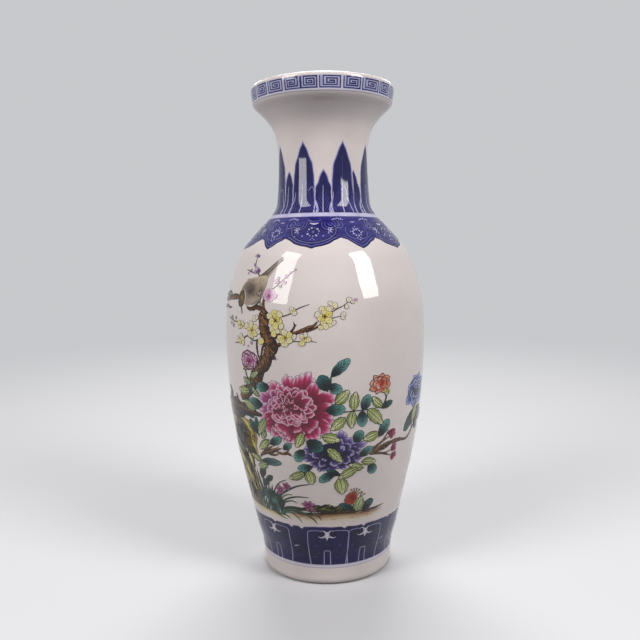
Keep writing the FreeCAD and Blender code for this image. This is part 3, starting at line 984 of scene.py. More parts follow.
def leaf(coat, base, tip, width, kind, bend, veins, level):
    """Leaf with a shaded blade, a midrib, side veins and an inked edge."""
    dark, mid, light, ink = kind
    (a0, z0), (a1, z1) = base, tip
    outlined = kind is GREEN or kind is PALE_GREEN
    if outlined:
        shape, fullness, ripple, beat = 0.86, 0.70, 0.10, 25
    else:
        shape, fullness, ripple, beat = 1.08, 0.56, 0.05, 19
    long = math.hypot((a1 - a0) * float(per_degree(z0)), z1 - z0)
    n = max(int(long / 0.7) + 2, 9)
    t = np.linspace(0, 1, n)
    s = np.linspace(-1, 1, 11)

    def place(t, s, f=1.0):
        """Place at share t along and s across, the blade's width times f."""
        x, z, nx, nz, k = along(a0, z0, a1, z1, bend, t)
        h = width / 2 * np.maximum(np.sin(np.pi * np.clip(t, 0, 1) ** shape), 0) ** fullness * f
        h = np.maximum(h * (1 + ripple * np.sin(t * beat + a0) * (np.abs(s) > 0.9)), 0.02)
        return a0 + (x + nx * h * s) / k, z0 + z + nz * h * s

    T, S = np.meshgrid(t, s, indexing="ij")
    A, Z = place(T, S)
    if outlined:
        inside = mix(mid, light, np.clip(0.5 - 0.5 * np.abs(S) + 0.4 * T, 0, 1))
        deep = 0.85 * (np.abs(S) > 0.62) * (1 - 0.5 * T) + 0.45 * (1 - T) ** 2
        rgb = mix(inside, dark, np.clip(deep, 0, 0.9))
    else:
        ray = 0.5 + 0.5 * np.sin((T * 1.5 - np.abs(S) * 0.55) * 20 + a0)
        inside = mix(mid, dark, np.clip(1.15 - T * 1.25 - 0.2 * (S > 0) + 0.25 * ray, 0, 1))
        lit = np.clip(T * 1.9 - 0.56 + 0.4 * (np.abs(S) > 0.7) * T, 0, 0.95)
        rgb = mix(inside, light, lit * (0.30 + 0.70 * ray))
    coat.level(level)
    coat.lay(A, Z, rgb)
    for i in range(veins):
        u = 0.08 + 0.70 * i / veins
        for side in (-1, 1):
            coat.level(level + 1)
            line = [place(u + 0.24 * f, side, f * (0.80 if outlined else 0.92)) for f in (0.02, 0.5, 1.0)]
            if outlined:
                coat.stroke(line, [0.3, 0.26, 0.14], mix(ink, mid, 0.2), ends=(0.8, 0.3), step=1.1)
            else:
                coat.stroke(line, [0.36, 0.34, 0.2], ink, ends=(0.8, 0.3), step=1.1)
    coat.level(level + 2)
    coat.stroke([place(u, 0) for u in (-0.06, 0.2, 0.5, 0.75, 0.95)], [0.46, 0.36, 0.2], ink, ends=(1, 0.3))
    for side in (-1, 1):
        coat.level(level + 3)
        edge = list(zip(*place(t, np.full(n, side * 0.985))))
        if outlined:
            coat.stroke(edge, 0.40, ink, ends=(0.6, 0.6), step=0.9)
            inner = list(zip(*place(t[2:-2], np.full(n - 4, side * 0.62))))
            coat.stroke(inner, 0.36, mix(ink, mid, 0.12), ends=(0.3, 0.3), step=0.9)
        else:
            coat.stroke(edge, 0.26, mix(ink, mid, 0.2), ends=(0.6, 0.6), step=0.9)


def leaf_group(coat, rows):
    """Leaves from rows of base, tip, width, colours, bend and number of veins."""
    for i, row in enumerate(rows):
        leaf(coat, *row, level=5 * (i % 3))
    coat.finish()


def fade(v, stops, tones):
    """Colours at the shares v, blended between the tones at the stops."""
    return np.stack([np.interp(v, stops, [c[i] for c in tones]) for i in range(3)], -1)


def petal(coat, root, tip, width, tones, lobes, line, stops, frill=0.07, line_width=0.24, seed=0.0, bend=0.0,
        round_=0.3, shadow=None):
    """Petal that fans out from its root to a frilled rim; tones run root to rim.

    The rim has an inked line; a shadow is a darker shape a little larger below.
    """
    (a0, z0), (a1, z1) = root, tip
    long = math.hypot((a1 - a0) * float(per_degree(z0)), z1 - z0)
    n, m = max(int(long / 0.8) + 2, 6), max(int(width / 0.5) + 2, 9)
    v, s = np.meshgrid(np.linspace(0, 1, n), np.linspace(-1, 1, m), indexing="ij")
    scallop = np.abs(np.sin(lobes * np.pi * (s + 1) / 2 + 0.25 * np.sin(seed * 3)))
    reach = 1 - round_ * s ** 2 - frill + frill * scallop + 0.03 * np.sin(7 * s + seed)
    t = v * reach
    x, z, nx, nz, k = along(a0, z0, a1, z1, bend, t)
    h = width / 2 * s * (0.22 + 0.78 * np.sqrt(v)) * (1 - 0.12 * v)
    if shadow is not None:
        wider = h + 0.45 * np.sign(s) * (np.abs(s) > 0.9)
        coat.lay(a0 + (x * 1.05 + nx * wider) / k, z0 + z * 1.05 + nz * wider,
            mix(shadow, tones[0], 0.2 + 0 * v))
    A, Z = a0 + (x + nx * h) / k, z0 + z + nz * h
    rgb = fade(v + 0.05 * np.sin(s * 9 + seed), stops, tones)
    ray = 0.5 + 0.5 * np.sin(s * (9 + lobes * 2) + seed * 5) * np.cos(s * 4 + seed)
    rgb = mix(rgb, tones[0], np.clip(0.55 * ray * (1 - v) ** 0.7, 0, 1))
    coat.lay(A, Z, rgb)
    coat.stroke(list(zip(A[-1], Z[-1]))[::2], line_width, line)


def petals(coat, rows, beat, rise, level=0, first=0, cycle=1000, grow=1.0, offset=0.0, tones=None, **style):
    """Petals from rows of root, tip, width, lobes and, where they differ, tones.

    The level and the seed of the frill go up with the count, which starts at first.
    """
    for i, (root, tip, width, lobes, *own) in enumerate(rows, first):
        coat.level(level + rise * (i % cycle))
        petal(coat, root, tip, width * grow, own[0] if own else tones, lobes, seed=i * beat + offset, **style)


def bark(coat, points, widths, seed, lit=1.0, strokes=2.0, level=None):
    """Knotty branch: dark edges, a lit side, and slanting strokes of bark.

    Strokes is their number for each mm of the branch.
    """
    coat.level(4 * (seed % 6) if level is None else level)
    dark, mid, light = hue(40, 22, 14), hue(98, 64, 42), mix(hue(96, 62, 38), hue(170, 126, 84), lit)
    across = [(-1, dark), (-0.72, mix(dark, mid, 0.4)), (-0.1, mid), (0.4, light), (0.74, mid), (1, dark)]
    coat.stroke(points, widths, mid, across=across, ends=(0.8, 0.3), rough=0.12, seed=seed, step=0.7)
    a, z, long = course(points, 0.7)
    widths = np.interp(np.linspace(0, 1, len(a)), np.linspace(0, 1, len(widths)), widths)
    rng = np.random.default_rng(seed)
    k = per_degree(z)
    dx, dz = np.gradient(a) * k, np.gradient(z)
    size = np.hypot(dx, dz)
    dx, dz = dx / size, dz / size
    lift = coat.lift
    for i in range(int(long * strokes)):
        coat.lift = lift + coat.step * (i % 3)
        j = rng.integers(1, len(a) - 1)
        s = rng.uniform(-0.85, 0.7)
        w = widths[j] / 2
        reach = rng.uniform(0.7, 2.2) * min(1, w)
        lean = rng.uniform(0.1, 0.9) * w
        x0, z0 = -dz[j] * s * w, dx[j] * s * w
        x1, z1 = x0 + dx[j] * reach - dz[j] * lean, z0 + dz[j] * reach + dx[j] * lean
        tone = (dark, mix(dark, mid, 0.5), light, hue(30, 16, 12))[rng.integers(0, 4)]
        line = [(a[j] + x0 / k[j], z[j] + z0), (a[j] + (x0 + x1) / 2 / k[j] + 0.1, z[j] + (z0 + z1) / 2),
                (a[j] + x1 / k[j], z[j] + z1)]
        coat.stroke(line, rng.uniform(0.22, 0.5), tone, ends=(0.3, 0.3), step=1.0)
    coat.lift = lift + coat.step * 3


# Bare earth, moss and washes under the plants
ground = Coat("ground_wash", ENAMEL)


def wash(a0, a1, low, high, stops, thinning):
    """Wash along the foot of the scene, thinning out at its ends and below."""
    a = np.linspace(a0, a1, int((a1 - a0) * 0.85 / 0.9) + 2)
    z0, z1 = low(a), high(a)
    A, Z, t = strip(a, z0, z1, max(int((z1 - z0).max() / 0.6) + 2, 4))
    rgb = fade(t, *zip(*stops))
    thin = np.clip(np.minimum(A - a0, a1 - A) / thinning, 0, 1)
    ground.lay(A, Z, mix(WHITE, np.broadcast_to(rgb, A.shape + (3,)), thin ** 0.8))


wash(-34, 43, lambda a: 40.6 + 0.5 * np.sin(a * 0.2) + 0.0009 * (a - 5) ** 2,
    lambda a: 48.4 + 0.4 * np.sin(a * 0.13) - 0.0004 * (a - 5) ** 2, [(0, WHITE), (0.3, hue(224, 210, 194)),
    (0.58, hue(196, 168, 140)), (0.76, hue(134, 98, 68)), (0.88, hue(66, 42, 28)), (1, hue(32, 20, 16))], 14)
wash(-96, -30, lambda a: 40.8 + 0.03 * (-a - 40), lambda a: 46.5 + 0.07 * (-a - 40),
    [(0, WHITE), (0.35, hue(222, 208, 176)), (0.7, hue(170, 140, 96)), (1, hue(90, 66, 40))], 10)
bark(ground, [(-34, 47.5), (-22, 49.4), (-8, 49.0), (4, 48.3), (20, 47.6), (33, 47.9), (42.5, 48.8)],
    [2.0, 1.5, 1.3, 1.5, 1.8, 1.4, 0.5], seed=4, lit=0.1, strokes=2.85, level=4)
ground.level(8)
ground.patch((-2, 50.0), [(15, 48.6), (12, 50.4), (8, 51.6), (4, 52.0), (1.5, 53.0), (-2, 53.6), (-4, 52.6),
    (-7, 53.2), (-10, 52.4), (-14, 51.6), (-19, 50.2), (-14, 49.2), (-8, 48.9), (-4, 48.7), (-2, 48.6),
    (1, 48.5), (5, 48.4), (10, 48.4)], hue(50, 46, 22), hue(74, 68, 32), streak=(hue(30, 26, 14), 8, 0.6))
rng = np.random.default_rng(11)
for i in range(90):
    a = rng.uniform(-16, 14)
    h = 5.2 - 0.012 * (a + 1) ** 2
    z = 48.6 + rng.uniform(0, max(h - 1.2, 0.5))
    ground.level(10 + i % 4)
    tone = (hue(50, 52, 22), hue(84, 88, 38), hue(34, 30, 16), hue(132, 126, 66))[i % 4]
    ground.stroke([(a, z), (a + rng.uniform(0.5, 1.5), z + 0.6), (a + rng.uniform(1.5, 4.0),
        z + rng.uniform(0.3, 1.4))], rng.uniform(0.3, 0.7), tone, ends=(0.6, 0.1), step=1.0)
for i in range(26):
    a = rng.uniform(-26, 34)
    z = rng.uniform(43.5, 47.0)
    ground.level(14)
    ground.stroke([(a, z), (a + rng.uniform(2, 6), z + rng.uniform(-0.3, 0.4))], rng.uniform(0.25, 0.5),
        mix(hue(132, 98, 70), hue(196, 168, 138), rng.uniform(0, 1)), ends=(0.1, 0.1), step=1.2)
ground.finish()

# Rocks at the left edge: a dark mass, angular slabs with lit faces, and stumps and roots above
rocks = Coat("rocks", ENAMEL, lift=0.03)
OCHRE, CREAM, UMBER, SOOT = hue(176, 152, 62), hue(224, 214, 134), hue(62, 46, 24), hue(18, 14, 10)
rocks.patch((-72, 78), [(-50, 98.5), (-46.3, 96), (-45.2, 92), (-46, 88), (-45.2, 83), (-46.5, 79.5),
    (-50, 77), (-51.5, 70), (-50.5, 60), (-48, 52), (-50, 46), (-62, 45.5), (-80, 47), (-94, 50), (-99, 60),
    (-101, 74), (-99, 88), (-94, 99), (-84, 104), (-72, 105.5), (-62, 104), (-55, 101.5)],
    mix(UMBER, SOOT, 0.3), mix(UMBER, OCHRE, 0.35), power=2.0, n=64, streak=(SOOT, 9, 0.55))


def face_band(points, width, dark, light, seed):
    """Lit plane of rock with a soft inner side and a crisp outer edge."""
    rocks.stroke(points, width, light, across=[(-1, dark), (-0.5, mix(dark, light, 0.45)), (0.1, light),
        (0.6, mix(light, CREAM, 0.5)), (0.92, mix(light, dark, 0.3)), (1, SOOT)], ends=(0.4, 0.3), rough=0.14,
        seed=seed)


face_band([(-45.0, 81), (-46.8, 84), (-47.2, 89), (-46.8, 93), (-49, 96.8), (-53.5, 99.5), (-59, 101.2)],
    [3.4, 4.6, 6.2, 6.6, 5.6, 4.0, 2.2], mix(UMBER, OCHRE, 0.4), OCHRE * 0.5 + CREAM * 0.5, 1)
face_band([(-53.0, 69), (-53.6, 74), (-55.2, 78.5), (-58, 81.5)], [1.6, 3.6, 4.2, 2.4],
    mix(UMBER, OCHRE, 0.4), mix(CREAM, hue(226, 206, 176), 0.5), 3)
face_band([(-49.8, 52), (-51.6, 58), (-52.2, 64), (-52.0, 69)], [1.6, 2.6, 2.6, 1.4], UMBER,
    mix(OCHRE, UMBER, 0.35), 4)
face_band([(-62, 48.5), (-72, 50), (-84, 54), (-94, 60)], [1.6, 4.2, 4.6, 2.0], UMBER, mix(OCHRE, UMBER, 0.2),
    5)


def slab(rim, light, dark, seed):
    """Angular face of rock, lit from the upper right, inked round and hatched."""
    rim = np.array(rim, float)
    mid, size = rim.mean(0), rim.max(0) - rim.min(0)

    def tone(A, Z):
        x, z = (A - mid[0]) / size[0], (Z - mid[1]) / size[1]
        lit = 0.42 + 0.9 * x + 0.6 * z + 0.22 * wobble(A * 0.7 + Z * 0.35, seed)
        return mix(dark, light, np.clip(lit, 0, 1) ** 1.4)

    rocks.patch(tuple(mid), rim, tone, n=40)
    step = rocks.lift
    edge = np.concatenate([rim, rim[:1]])
    rocks.stroke(edge, 0.9, SOOT, rough=0.4, seed=seed)
    spots = np.random.default_rng(seed)
    for i in range(44):
        j = spots.integers(0, len(rim))
        t, f = spots.uniform(0, 1), spots.uniform(0.62, 0.97)
        a, z = mid + ((1 - t) * edge[j] + t * edge[j + 1] - mid) * f
        rocks.lift = step + rocks.step * (1 + i % 3)
        rocks.stroke([(a, z), (a - 0.9, z - 1.4), (a - 1.2, z - spots.uniform(2.2, 4.6))],
            spots.uniform(0.25, 0.8), (SOOT, mix(UMBER, OCHRE, 0.5), SOOT, CREAM * 0.7)[i % 4],
            ends=(0.5, 0.1), step=1.1)
    rocks.lift = step + rocks.step * 4


rocks.level(8)
DIM = mix(UMBER, OCHRE, 0.75)
slab([(-99, 54), (-101, 70), (-99, 84), (-94, 96), (-88, 99), (-84, 90), (-85, 76), (-88, 62), (-92, 51)],
    DIM, hue(38, 28, 16), 61)
slab([(-89, 97), (-82, 103.4), (-73, 104.8), (-66, 101), (-66, 92), (-72, 84), (-80, 82), (-86, 88)],
    mix(OCHRE, CREAM, 0.3), hue(46, 34, 18), 62)
slab([(-92, 56), (-90, 72), (-84, 82), (-77, 80), (-75, 66), (-78, 54), (-85, 50)], mix(OCHRE, CREAM, 0.1),
    hue(40, 30, 16), 63)
slab([(-80, 52), (-79, 62), (-73, 68), (-67, 64), (-63.5, 54), (-66, 47.5), (-74, 47.5)],
    mix(OCHRE, CREAM, 0.4), hue(44, 32, 18), 64)
rocks.level(40)
face_band([(-55.5, 55.5), (-57.5, 61), (-60.5, 66.5), (-66, 73), (-74, 78.5), (-83, 81)],
    [3.0, 6.0, 7.0, 6.6, 5.0, 1.6], mix(UMBER, OCHRE, 0.5), CREAM * 0.6 + OCHRE * 0.4, 2)
for (a0, z0), (a1, z1), n, tone, w in (
        ((-64, 88), (-55, 97), 26, SOOT, 0.8), ((-66, 84), (-56, 92), 22, hue(96, 104, 88), 0.5),
        ((-72, 86), (-60, 98), 24, SOOT, 1.0),
        ((-60, 76), (-54, 60), 22, SOOT, 0.8), ((-57, 82), (-50, 84), 14, hue(60, 58, 34), 0.7),
        ((-70, 60), (-60, 52), 18, SOOT, 0.9),
        ((-66, 70), (-60, 80), 14, SOOT, 0.7)):
    for i in range(n):
        t = rng.uniform(0, 1)
        a, z = a0 + (a1 - a0) * t + rng.normal(0, 1.4), z0 + (z1 - z0) * rng.uniform(0, 1)
        rocks.level(42 + i % 5)
        rocks.stroke([(a, z), (a + rng.uniform(0.5, 1.6), z - rng.uniform(0.6, 1.8)),
            (a + rng.uniform(0.6, 2.6), z - rng.uniform(2.0, 4.2))], w * rng.uniform(0.5, 1.3), tone,
            ends=(0.2, 0.1), step=1.1)
for i in range(40):
    a = rng.uniform(-54, -46.5)
    z = rng.uniform(83, 97)
    rocks.level(47)
    rocks.stroke([(a - 1.6, z + 0.6), (a, z), (a + 1.2, z - 1.2)], rng.uniform(0.18, 0.36),
        mix(OCHRE, UMBER, rng.uniform(0.2, 1)), ends=(0.2, 0.1), step=1.1)
for i in range(46):
    t = rng.uniform(0, 1)
    a, z = -56 - 26 * t + rng.normal(0, 1.6), 58 + 23 * t + rng.normal(0, 1.6)
    rocks.level(47)
    rocks.stroke([(a, z), (a - 1.6, z + 1.2), (a - 3.6, z + 2.0)], rng.uniform(0.18, 0.4),
        mix(OCHRE, UMBER, rng.uniform(0.0, 0.9)), ends=(0.2, 0.1), step=1.1)
# Stumps above the rock and the roots that run to the flowers
rocks.level(48)
rocks.patch((-62, 106.5), [(-92, 95), (-88, 102), (-82, 107.6), (-76, 110.6), (-71, 110.4), (-66, 112.0),
    (-61, 112.4), (-56.5, 110.6), (-51, 110.0), (-44, 108.0), (-38, 106.4), (-37.6, 104.6), (-44, 104.4),
    (-52, 103.4), (-60, 101.4), (-68, 101.0), (-80, 98.6)], hue(74, 50, 30), SOOT)
bark(rocks, [(-74.5, 108.0), (-71, 110.8), (-69.2, 114.2), (-71.4, 118.6)], [5.6, 5.6, 4.4, 0.8], seed=51,
    lit=0.1, level=49)
bark(rocks, [(-65, 107.6), (-61.4, 110.4), (-59.6, 112.8), (-61, 115.0)], [5.6, 4.8, 3.2, 0.8], seed=52,
    lit=0.1, level=49)
bark(rocks, [(-57, 107.6), (-53.6, 109.4), (-50.8, 110.4)], [4.0, 2.8, 0.8], seed=53, lit=0.1, level=49)
bark(rocks, [(-93, 95), (-88, 101.4), (-80, 106.4), (-70, 108.2), (-58, 107.8), (-48, 107), (-38, 105.6)],
    [0.8, 2.6, 3.6, 4.0, 3.2, 2.6, 1.4], seed=9, lit=0.9, strokes=3.8, level=54)
bark(rocks, [(-88, 96.5), (-82, 101.2), (-74, 104.0), (-66, 104.2), (-58, 102.8)], [0.8, 2.2, 2.8, 2.4, 0.8],
    seed=10, strokes=3.04, level=59)
rocks.finish()

# Old trunk with its branches and twigs
trunk = Coat("branches", ENAMEL, lift=0.06)
# Rows of points, widths, seed, and where they differ the light and number of strokes
for row in (
        ([(-55, 113.6), (-51.5, 116), (-47, 119.2), (-43.8, 122.5), (-41.5, 125.5), (-39.6, 128.5),
        (-37.8, 131.5), (-35.3, 134.5), (-33, 137.5), (-31.6, 140), (-30.4, 143), (-29.4, 146), (-30.2, 149),
        (-31.3, 152), (-33.2, 155), (-34.0, 158), (-33.8, 161), (-34, 164), (-34.4, 166.8), (-34.6, 169.5),
        (-34.3, 172.5), (-34.2, 175)], [5.0, 7.6, 8.6, 7.6, 7.2, 8.0, 9.4, 8.8, 7.6, 8.6, 7.4, 7.4, 8.6, 9.2,
        8.8, 7.8, 7.2, 7.4, 6.6, 3.4, 2.0, 1.0], 21, 1.0, 6.46),
        ([(-30, 151.5), (-27, 152.6), (-23.5, 152.4), (-19, 153.6), (-15, 154.6), (-11.5, 156), (-8.5, 157.6),
        (-6, 158.6), (-3.6, 161)], [4.2, 3.6, 2.4, 1.9, 2.0, 2.4, 2.2, 1.8, 0.9], 22),
        ([(-11, 155.2), (-8, 156.2), (-5, 157.4), (-2.4, 159.6)], [1.6, 1.5, 1.2, 0.6], 23, 0.3),
        ([(-18.6, 154.2), (-16.8, 156.4), (-15.9, 158.4), (-16.6, 160.8)], [1.7, 1.4, 1.1, 0.5], 24, 0.3),
        ([(-16, 158), (-14.9, 159.2)], [1.1, 0.5], 25, 0.3),
        ([(-28, 145.8), (-24.5, 147.6), (-22, 149), (-19.5, 149.9)], [3.4, 2.4, 1.5, 0.9], 26, 0.5),
        ([(-28.6, 140.8), (-27.4, 139.8), (-26.9, 138.9)], [3.4, 3.0, 1.4], 50, 0.5),
        ([(-34.5, 167), (-38, 168.0), (-41, 167.6), (-44, 167.0), (-47.4, 168.6)], [3.8, 2.8, 2.2, 2.4, 0.8],
        28, 0.4),
        ([(-38.2, 150.2), (-38.6, 146.5), (-38.2, 142.5), (-37.4, 138.8)], [1.0, 1.4, 1.3, 0.7], 29, 0.3),
        ([(-33.4, 147.6), (-34.8, 145), (-35.6, 141.5), (-36.6, 137.8)], [1.2, 1.5, 1.4, 0.8], 30, 0.3),
        ([(-54, 173.0), (-59, 173.4), (-64, 172.8), (-68, 172.6), (-74, 171.8), (-82, 170.4), (-90, 170)],
        [3.2, 3.6, 3.4, 3.6, 2.4, 1.8, 0.8], 31, 1.0, 3.42),
        ([(-66, 174.6), (-70, 175.8), (-75, 174.4), (-84, 173.4)], [1.4, 1.8, 1.3, 0.6], 32, 0.2),
        ([(-63.4, 166.8), (-67, 166.4), (-72, 167.2), (-80, 166.6), (-90, 165)], [0.8, 1.8, 2.0, 2.2, 1.0],
        33, 0.3),
        ([(-41.6, 81), (-38, 83), (-34, 84.4), (-30, 86), (-26.4, 87.2)], [1.2, 2.4, 2.8, 2.2, 1.0], 34),
        ([(-30, 84.6), (-26, 84.0), (-23, 84.6), (-20.2, 83.0)], [1.4, 1.6, 1.8, 0.8], 35),
        ([(-43, 79.6), (-41.4, 81.6), (-38, 84.4), (-34.4, 86.6), (-31, 88.4)], [1.6, 1.6, 1.4, 1.0, 0.4],
        45),
        ([(-36, 82.6), (-32, 82.4), (-28.6, 83.4)], [1.6, 1.4, 0.8], 48),
        ([(-24, 84.6), (-22.4, 86.2), (-21.4, 87.4)], [1.0, 0.8, 0.4], 49),
        ([(22, 84), (27, 85.2), (32, 86.4), (37, 87.8), (42, 88.3), (48, 88.2), (54, 87.4), (58, 89.4),
        (61, 92.6), (65, 95.4)], [2.2, 2.8, 2.6, 2.2, 2.4, 2.2, 1.6, 1.5, 1.3, 0.6], 36, 1.0, 3.8),
        ([(24, 85.5), (29, 87.6), (33, 90), (35.4, 93), (37, 96.6)], [1.8, 1.7, 1.4, 1.1, 0.5], 37),
        ([(33, 89.6), (36.4, 91.4), (38.4, 92)], [1.2, 1.0, 0.6], 38),
        ([(25, 83.5), (30, 83.2), (34, 82.4), (38, 81), (41.5, 80)], [1.8, 1.6, 1.3, 1.0, 0.5], 39),
        ([(31, 83), (35, 82.4), (38, 82.6), (40.4, 83.6)], [1.2, 1.2, 0.9, 0.5], 40),
        ([(28, 84.8), (34, 85), (38, 86.6), (41, 87.8)], [1.4, 1.3, 1.1, 0.6], 41)):
    bark(trunk, *row)
for a, z, r in ((-32, 163, 1.2), (-35.5, 156.5, 1.5), (-29, 149.5, 1.6), (-38, 131.5, 1.5)):
    for j, f in enumerate((1.0, 0.62, 0.3)):
        trunk.level(25 + j)
        trunk.stroke([(a + r * f * math.cos(t), z + r * 0.8 * f * math.sin(t))
            for t in np.linspace(0.4, 6.0, 9)], 0.3, (SOOT, hue(150, 104, 66), SOOT)[j], ends=(0.4, 0.4),
            step=0.9)
TWIG = hue(92, 84, 48)
for i, (points, w) in enumerate((
        ([(-22.6, 163.4), (-18, 165.2), (-14, 168), (-8, 170.4)], [0.7, 0.6, 0.6, 0.25]),
        ([(2, 165.2), (5, 167.2), (9.5, 169.6), (13, 172.6)], [0.6, 0.5, 0.3]),
        ([(3, 162.6), (7.6, 163.8)], [0.5, 0.3]), ([(-66.5, 160.8), (-60, 159), (-54, 158.4), (-47.5, 156.4)],
        [0.4, 0.7, 0.7, 0.4]), ([(-38.4, 149.4), (-41, 149), (-44, 150.6), (-46.5, 151.2), (-50, 148.6),
        (-54, 146.8), (-58.5, 146.2)], [0.8, 0.7, 0.8, 0.8, 0.7, 0.4]),
        ([(-17.5, 149.9), (-12, 149.8), (-8.5, 150.4), (-4.4, 149.2)], [0.6, 0.5, 0.3]),
        ([(-40.2, 185.6), (-43, 188.4), (-45.4, 191.2), (-46, 195), (-46.4, 198.4)], [0.8, 0.7, 0.6, 0.4]),
        ([(-53, 189.2), (-49, 188.2), (-45, 187.2)], [0.4, 0.9, 0.6]),
        ([(-48.5, 131.5), (-47.4, 127.6), (-44, 124.4), (-40.4, 121.4)], [1.1, 1.0, 0.8, 0.6]),
        ([(-37, 171.6), (-38.6, 170), (-41.5, 168.6)], [0.4, 0.7, 0.6]),
        ([(-36, 175.5), (-37, 172), (-36.4, 169)], [0.3, 0.7, 0.6]), ([(2.4, 130.4), (2.0, 126.4),
        (1.0, 123)], [0.8, 1.1, 1.0]), ([(9, 109.8), (14, 110.1), (20, 110.2), (26, 110.4), (31, 111.4)],
        [0.7, 0.6, 0.6, 0.4]), ([(33.2, 119.2), (33.6, 116), (32.4, 112.8), (30.6, 111.2)],
        [1.2, 1.1, 0.9, 0.6]), ([(56, 100), (59, 97.5), (60, 93)], [0.7, 0.9, 0.8]),
        ([(70, 98), (64, 98), (60, 96)], [0.6, 0.8, 0.6]))):
    trunk.level(28 + i % 3)
    trunk.stroke(points, w, TWIG if points[0][1] > 134 else hue(56, 92, 66), ends=(0.8, 0.3))
trunk.finish()

# Grasses and orchids growing from the foot of the rocks
grass = Coat("orchid_grass", ENAMEL, lift=0.10)
BLADE = hues((34, 68, 68), (64, 100, 88), (102, 124, 92), (44, 60, 56), (30, 54, 58))
for i, (points, w, tone) in enumerate((
        ([(-40, 50), (-37, 58), (-33, 63.6), (-29.4, 66.2), (-25.6, 67.8)], [1.0, 1.1, 0.8, 0.4], 0),
        ([(-39, 47), (-33, 56), (-25, 61.6), (-18, 64.8), (-10.4, 66.4)], [1.0, 1.5, 1.1, 0.4], 4),
        ([(-37, 48), (-29, 54.4), (-21, 57.4), (-11.6, 57.8)], [1.0, 1.2, 0.9, 0.3], 3),
        ([(-36, 52), (-28, 57.6), (-22.6, 58.6)], [0.8, 0.9, 0.4], 2),
        ([(-34, 46), (-24, 48.8), (-16, 47.2), (-9.6, 43.6), (-7, 40.4)], [1.0, 1.5, 1.3, 0.5], 1),
        ([(-34, 45), (-26, 46.8), (-20.6, 43.8), (-17.6, 40.6)], [1.0, 1.3, 0.9, 0.4], 2),
        ([(-36, 49), (-30, 52.5), (-24, 54.5), (-20, 53.5)], [0.9, 1.0, 0.5], 0),
        ([(-42, 47), (-44, 53), (-45.4, 58), (-45, 62)], [1.2, 1.4, 0.8, 0.3], 4),
        ([(-40, 46), (-41, 53), (-41.4, 60), (-39, 65)], [1.2, 1.4, 0.9, 0.3], 0),
        ([(-38, 46), (-37, 52), (-34, 58), (-31.5, 62)], [1.2, 1.4, 0.9, 0.3], 4),
        ([(-44, 46), (-48, 50), (-50.6, 55)], [1.2, 1.2, 0.4], 1), ([(-34, 47), (-28, 49.8), (-20, 50.6),
        (-12, 49.4)], [1.2, 1.3, 0.8, 0.3], 4), ([(-38, 44), (-31, 44.6), (-26, 42.6)], [1.1, 1.2, 0.4], 3),
        ([(-40, 45), (-34, 43), (-29, 41.6)], [0.8, 1.0, 0.4], 2), ([(-12, 48.4), (-8, 47), (-5, 44.6),
        (-4, 42.6)], [0.5, 0.9, 0.3], 1))):
    grass.level(3 * (i % 5))
    base = BLADE[tone]
    grass.stroke(points, w, base, across=[(-1, mix(base, SOOT, 0.5)), (-0.2, base),
        (0.2, mix(base, hue(128, 150, 110), 0.45)), (1, mix(base, SOOT, 0.3))], ends=(1, 0.1))
for i, (points, w, tone) in enumerate((
        ([(-44, 46), (-46.4, 55), (-48.6, 63), (-49.4, 71)], [1.6, 2.8, 2.0, 0.5], hue(16, 44, 48)),
        ([(-42, 46), (-43.4, 56), (-44.6, 65), (-43.8, 73)], [1.6, 2.6, 2.2, 0.5], hue(14, 34, 36)),
        ([(-47, 47), (-50.4, 54), (-51.6, 61)], [1.6, 2.4, 0.6], hue(20, 52, 50)),
        ([(-40, 45), (-39.6, 54), (-37.4, 63)], [1.6, 2.8, 0.6], hue(18, 46, 48)),
        ([(-37, 45), (-34.6, 52), (-30.6, 58)], [1.6, 2.4, 0.6], hue(14, 36, 38)),
        ([(-43, 45), (-40.8, 57), (-41.2, 67)], [1.6, 2.4, 0.5], hue(26, 62, 58)))):
    grass.level(12 + i)
    pale = mix(tone, hue(118, 150, 140), 0.45)
    grass.stroke(points, w, tone, across=[(-1, SOOT), (-0.3, tone), (0.2, pale), (0.6, tone), (1, SOOT)],
        ends=(1, 0.1))
for i in range(190):
    t = rng.uniform(0, 1)
    a, z = -50 + 19 * t, rng.uniform(44.5, 57 - 7 * abs(t - 0.5))
    lean = rng.uniform(-2.4, 2.8)
    grass.level(19 + i % 6)
    tone = (hue(16, 42, 46), hue(30, 74, 76), hue(60, 108, 104), hue(12, 28, 32), hue(24, 58, 60),
        hue(96, 132, 116))[rng.integers(0, 6)]
    grass.stroke([(a, z), (a + lean * 0.4, z + 2.0), (a + lean, z + rng.uniform(3.0, 5.2))],
        rng.uniform(0.6, 1.5), tone, ends=(0.7, 0.15), step=1.0)
# Painted highlights: short pale grey-white streaks where light glints on the broad dark blades
for a, z, w in ((-46.5, 52.4, 1.7), (-44.8, 51.2, 1.3), (-48, 47.2, 0.9), (-43, 46.8, 1.0),
        (-42.6, 63.4, 1.2), (-40.2, 61.6, 1.3)):
    grass.level(25)
    grass.stroke([(a - w * 0.5, z - 1.8), (a, z), (a + w * 0.7, z + 1.6)], [w * 0.3, w * 0.55, w * 0.2],
        mix(WHITE, hue(150, 160, 170), 0.35), ends=(0.3, 0.2))
ORCHID = hues((96, 26, 72), (134, 50, 104), (168, 92, 142), (204, 152, 186), (220, 190, 208))
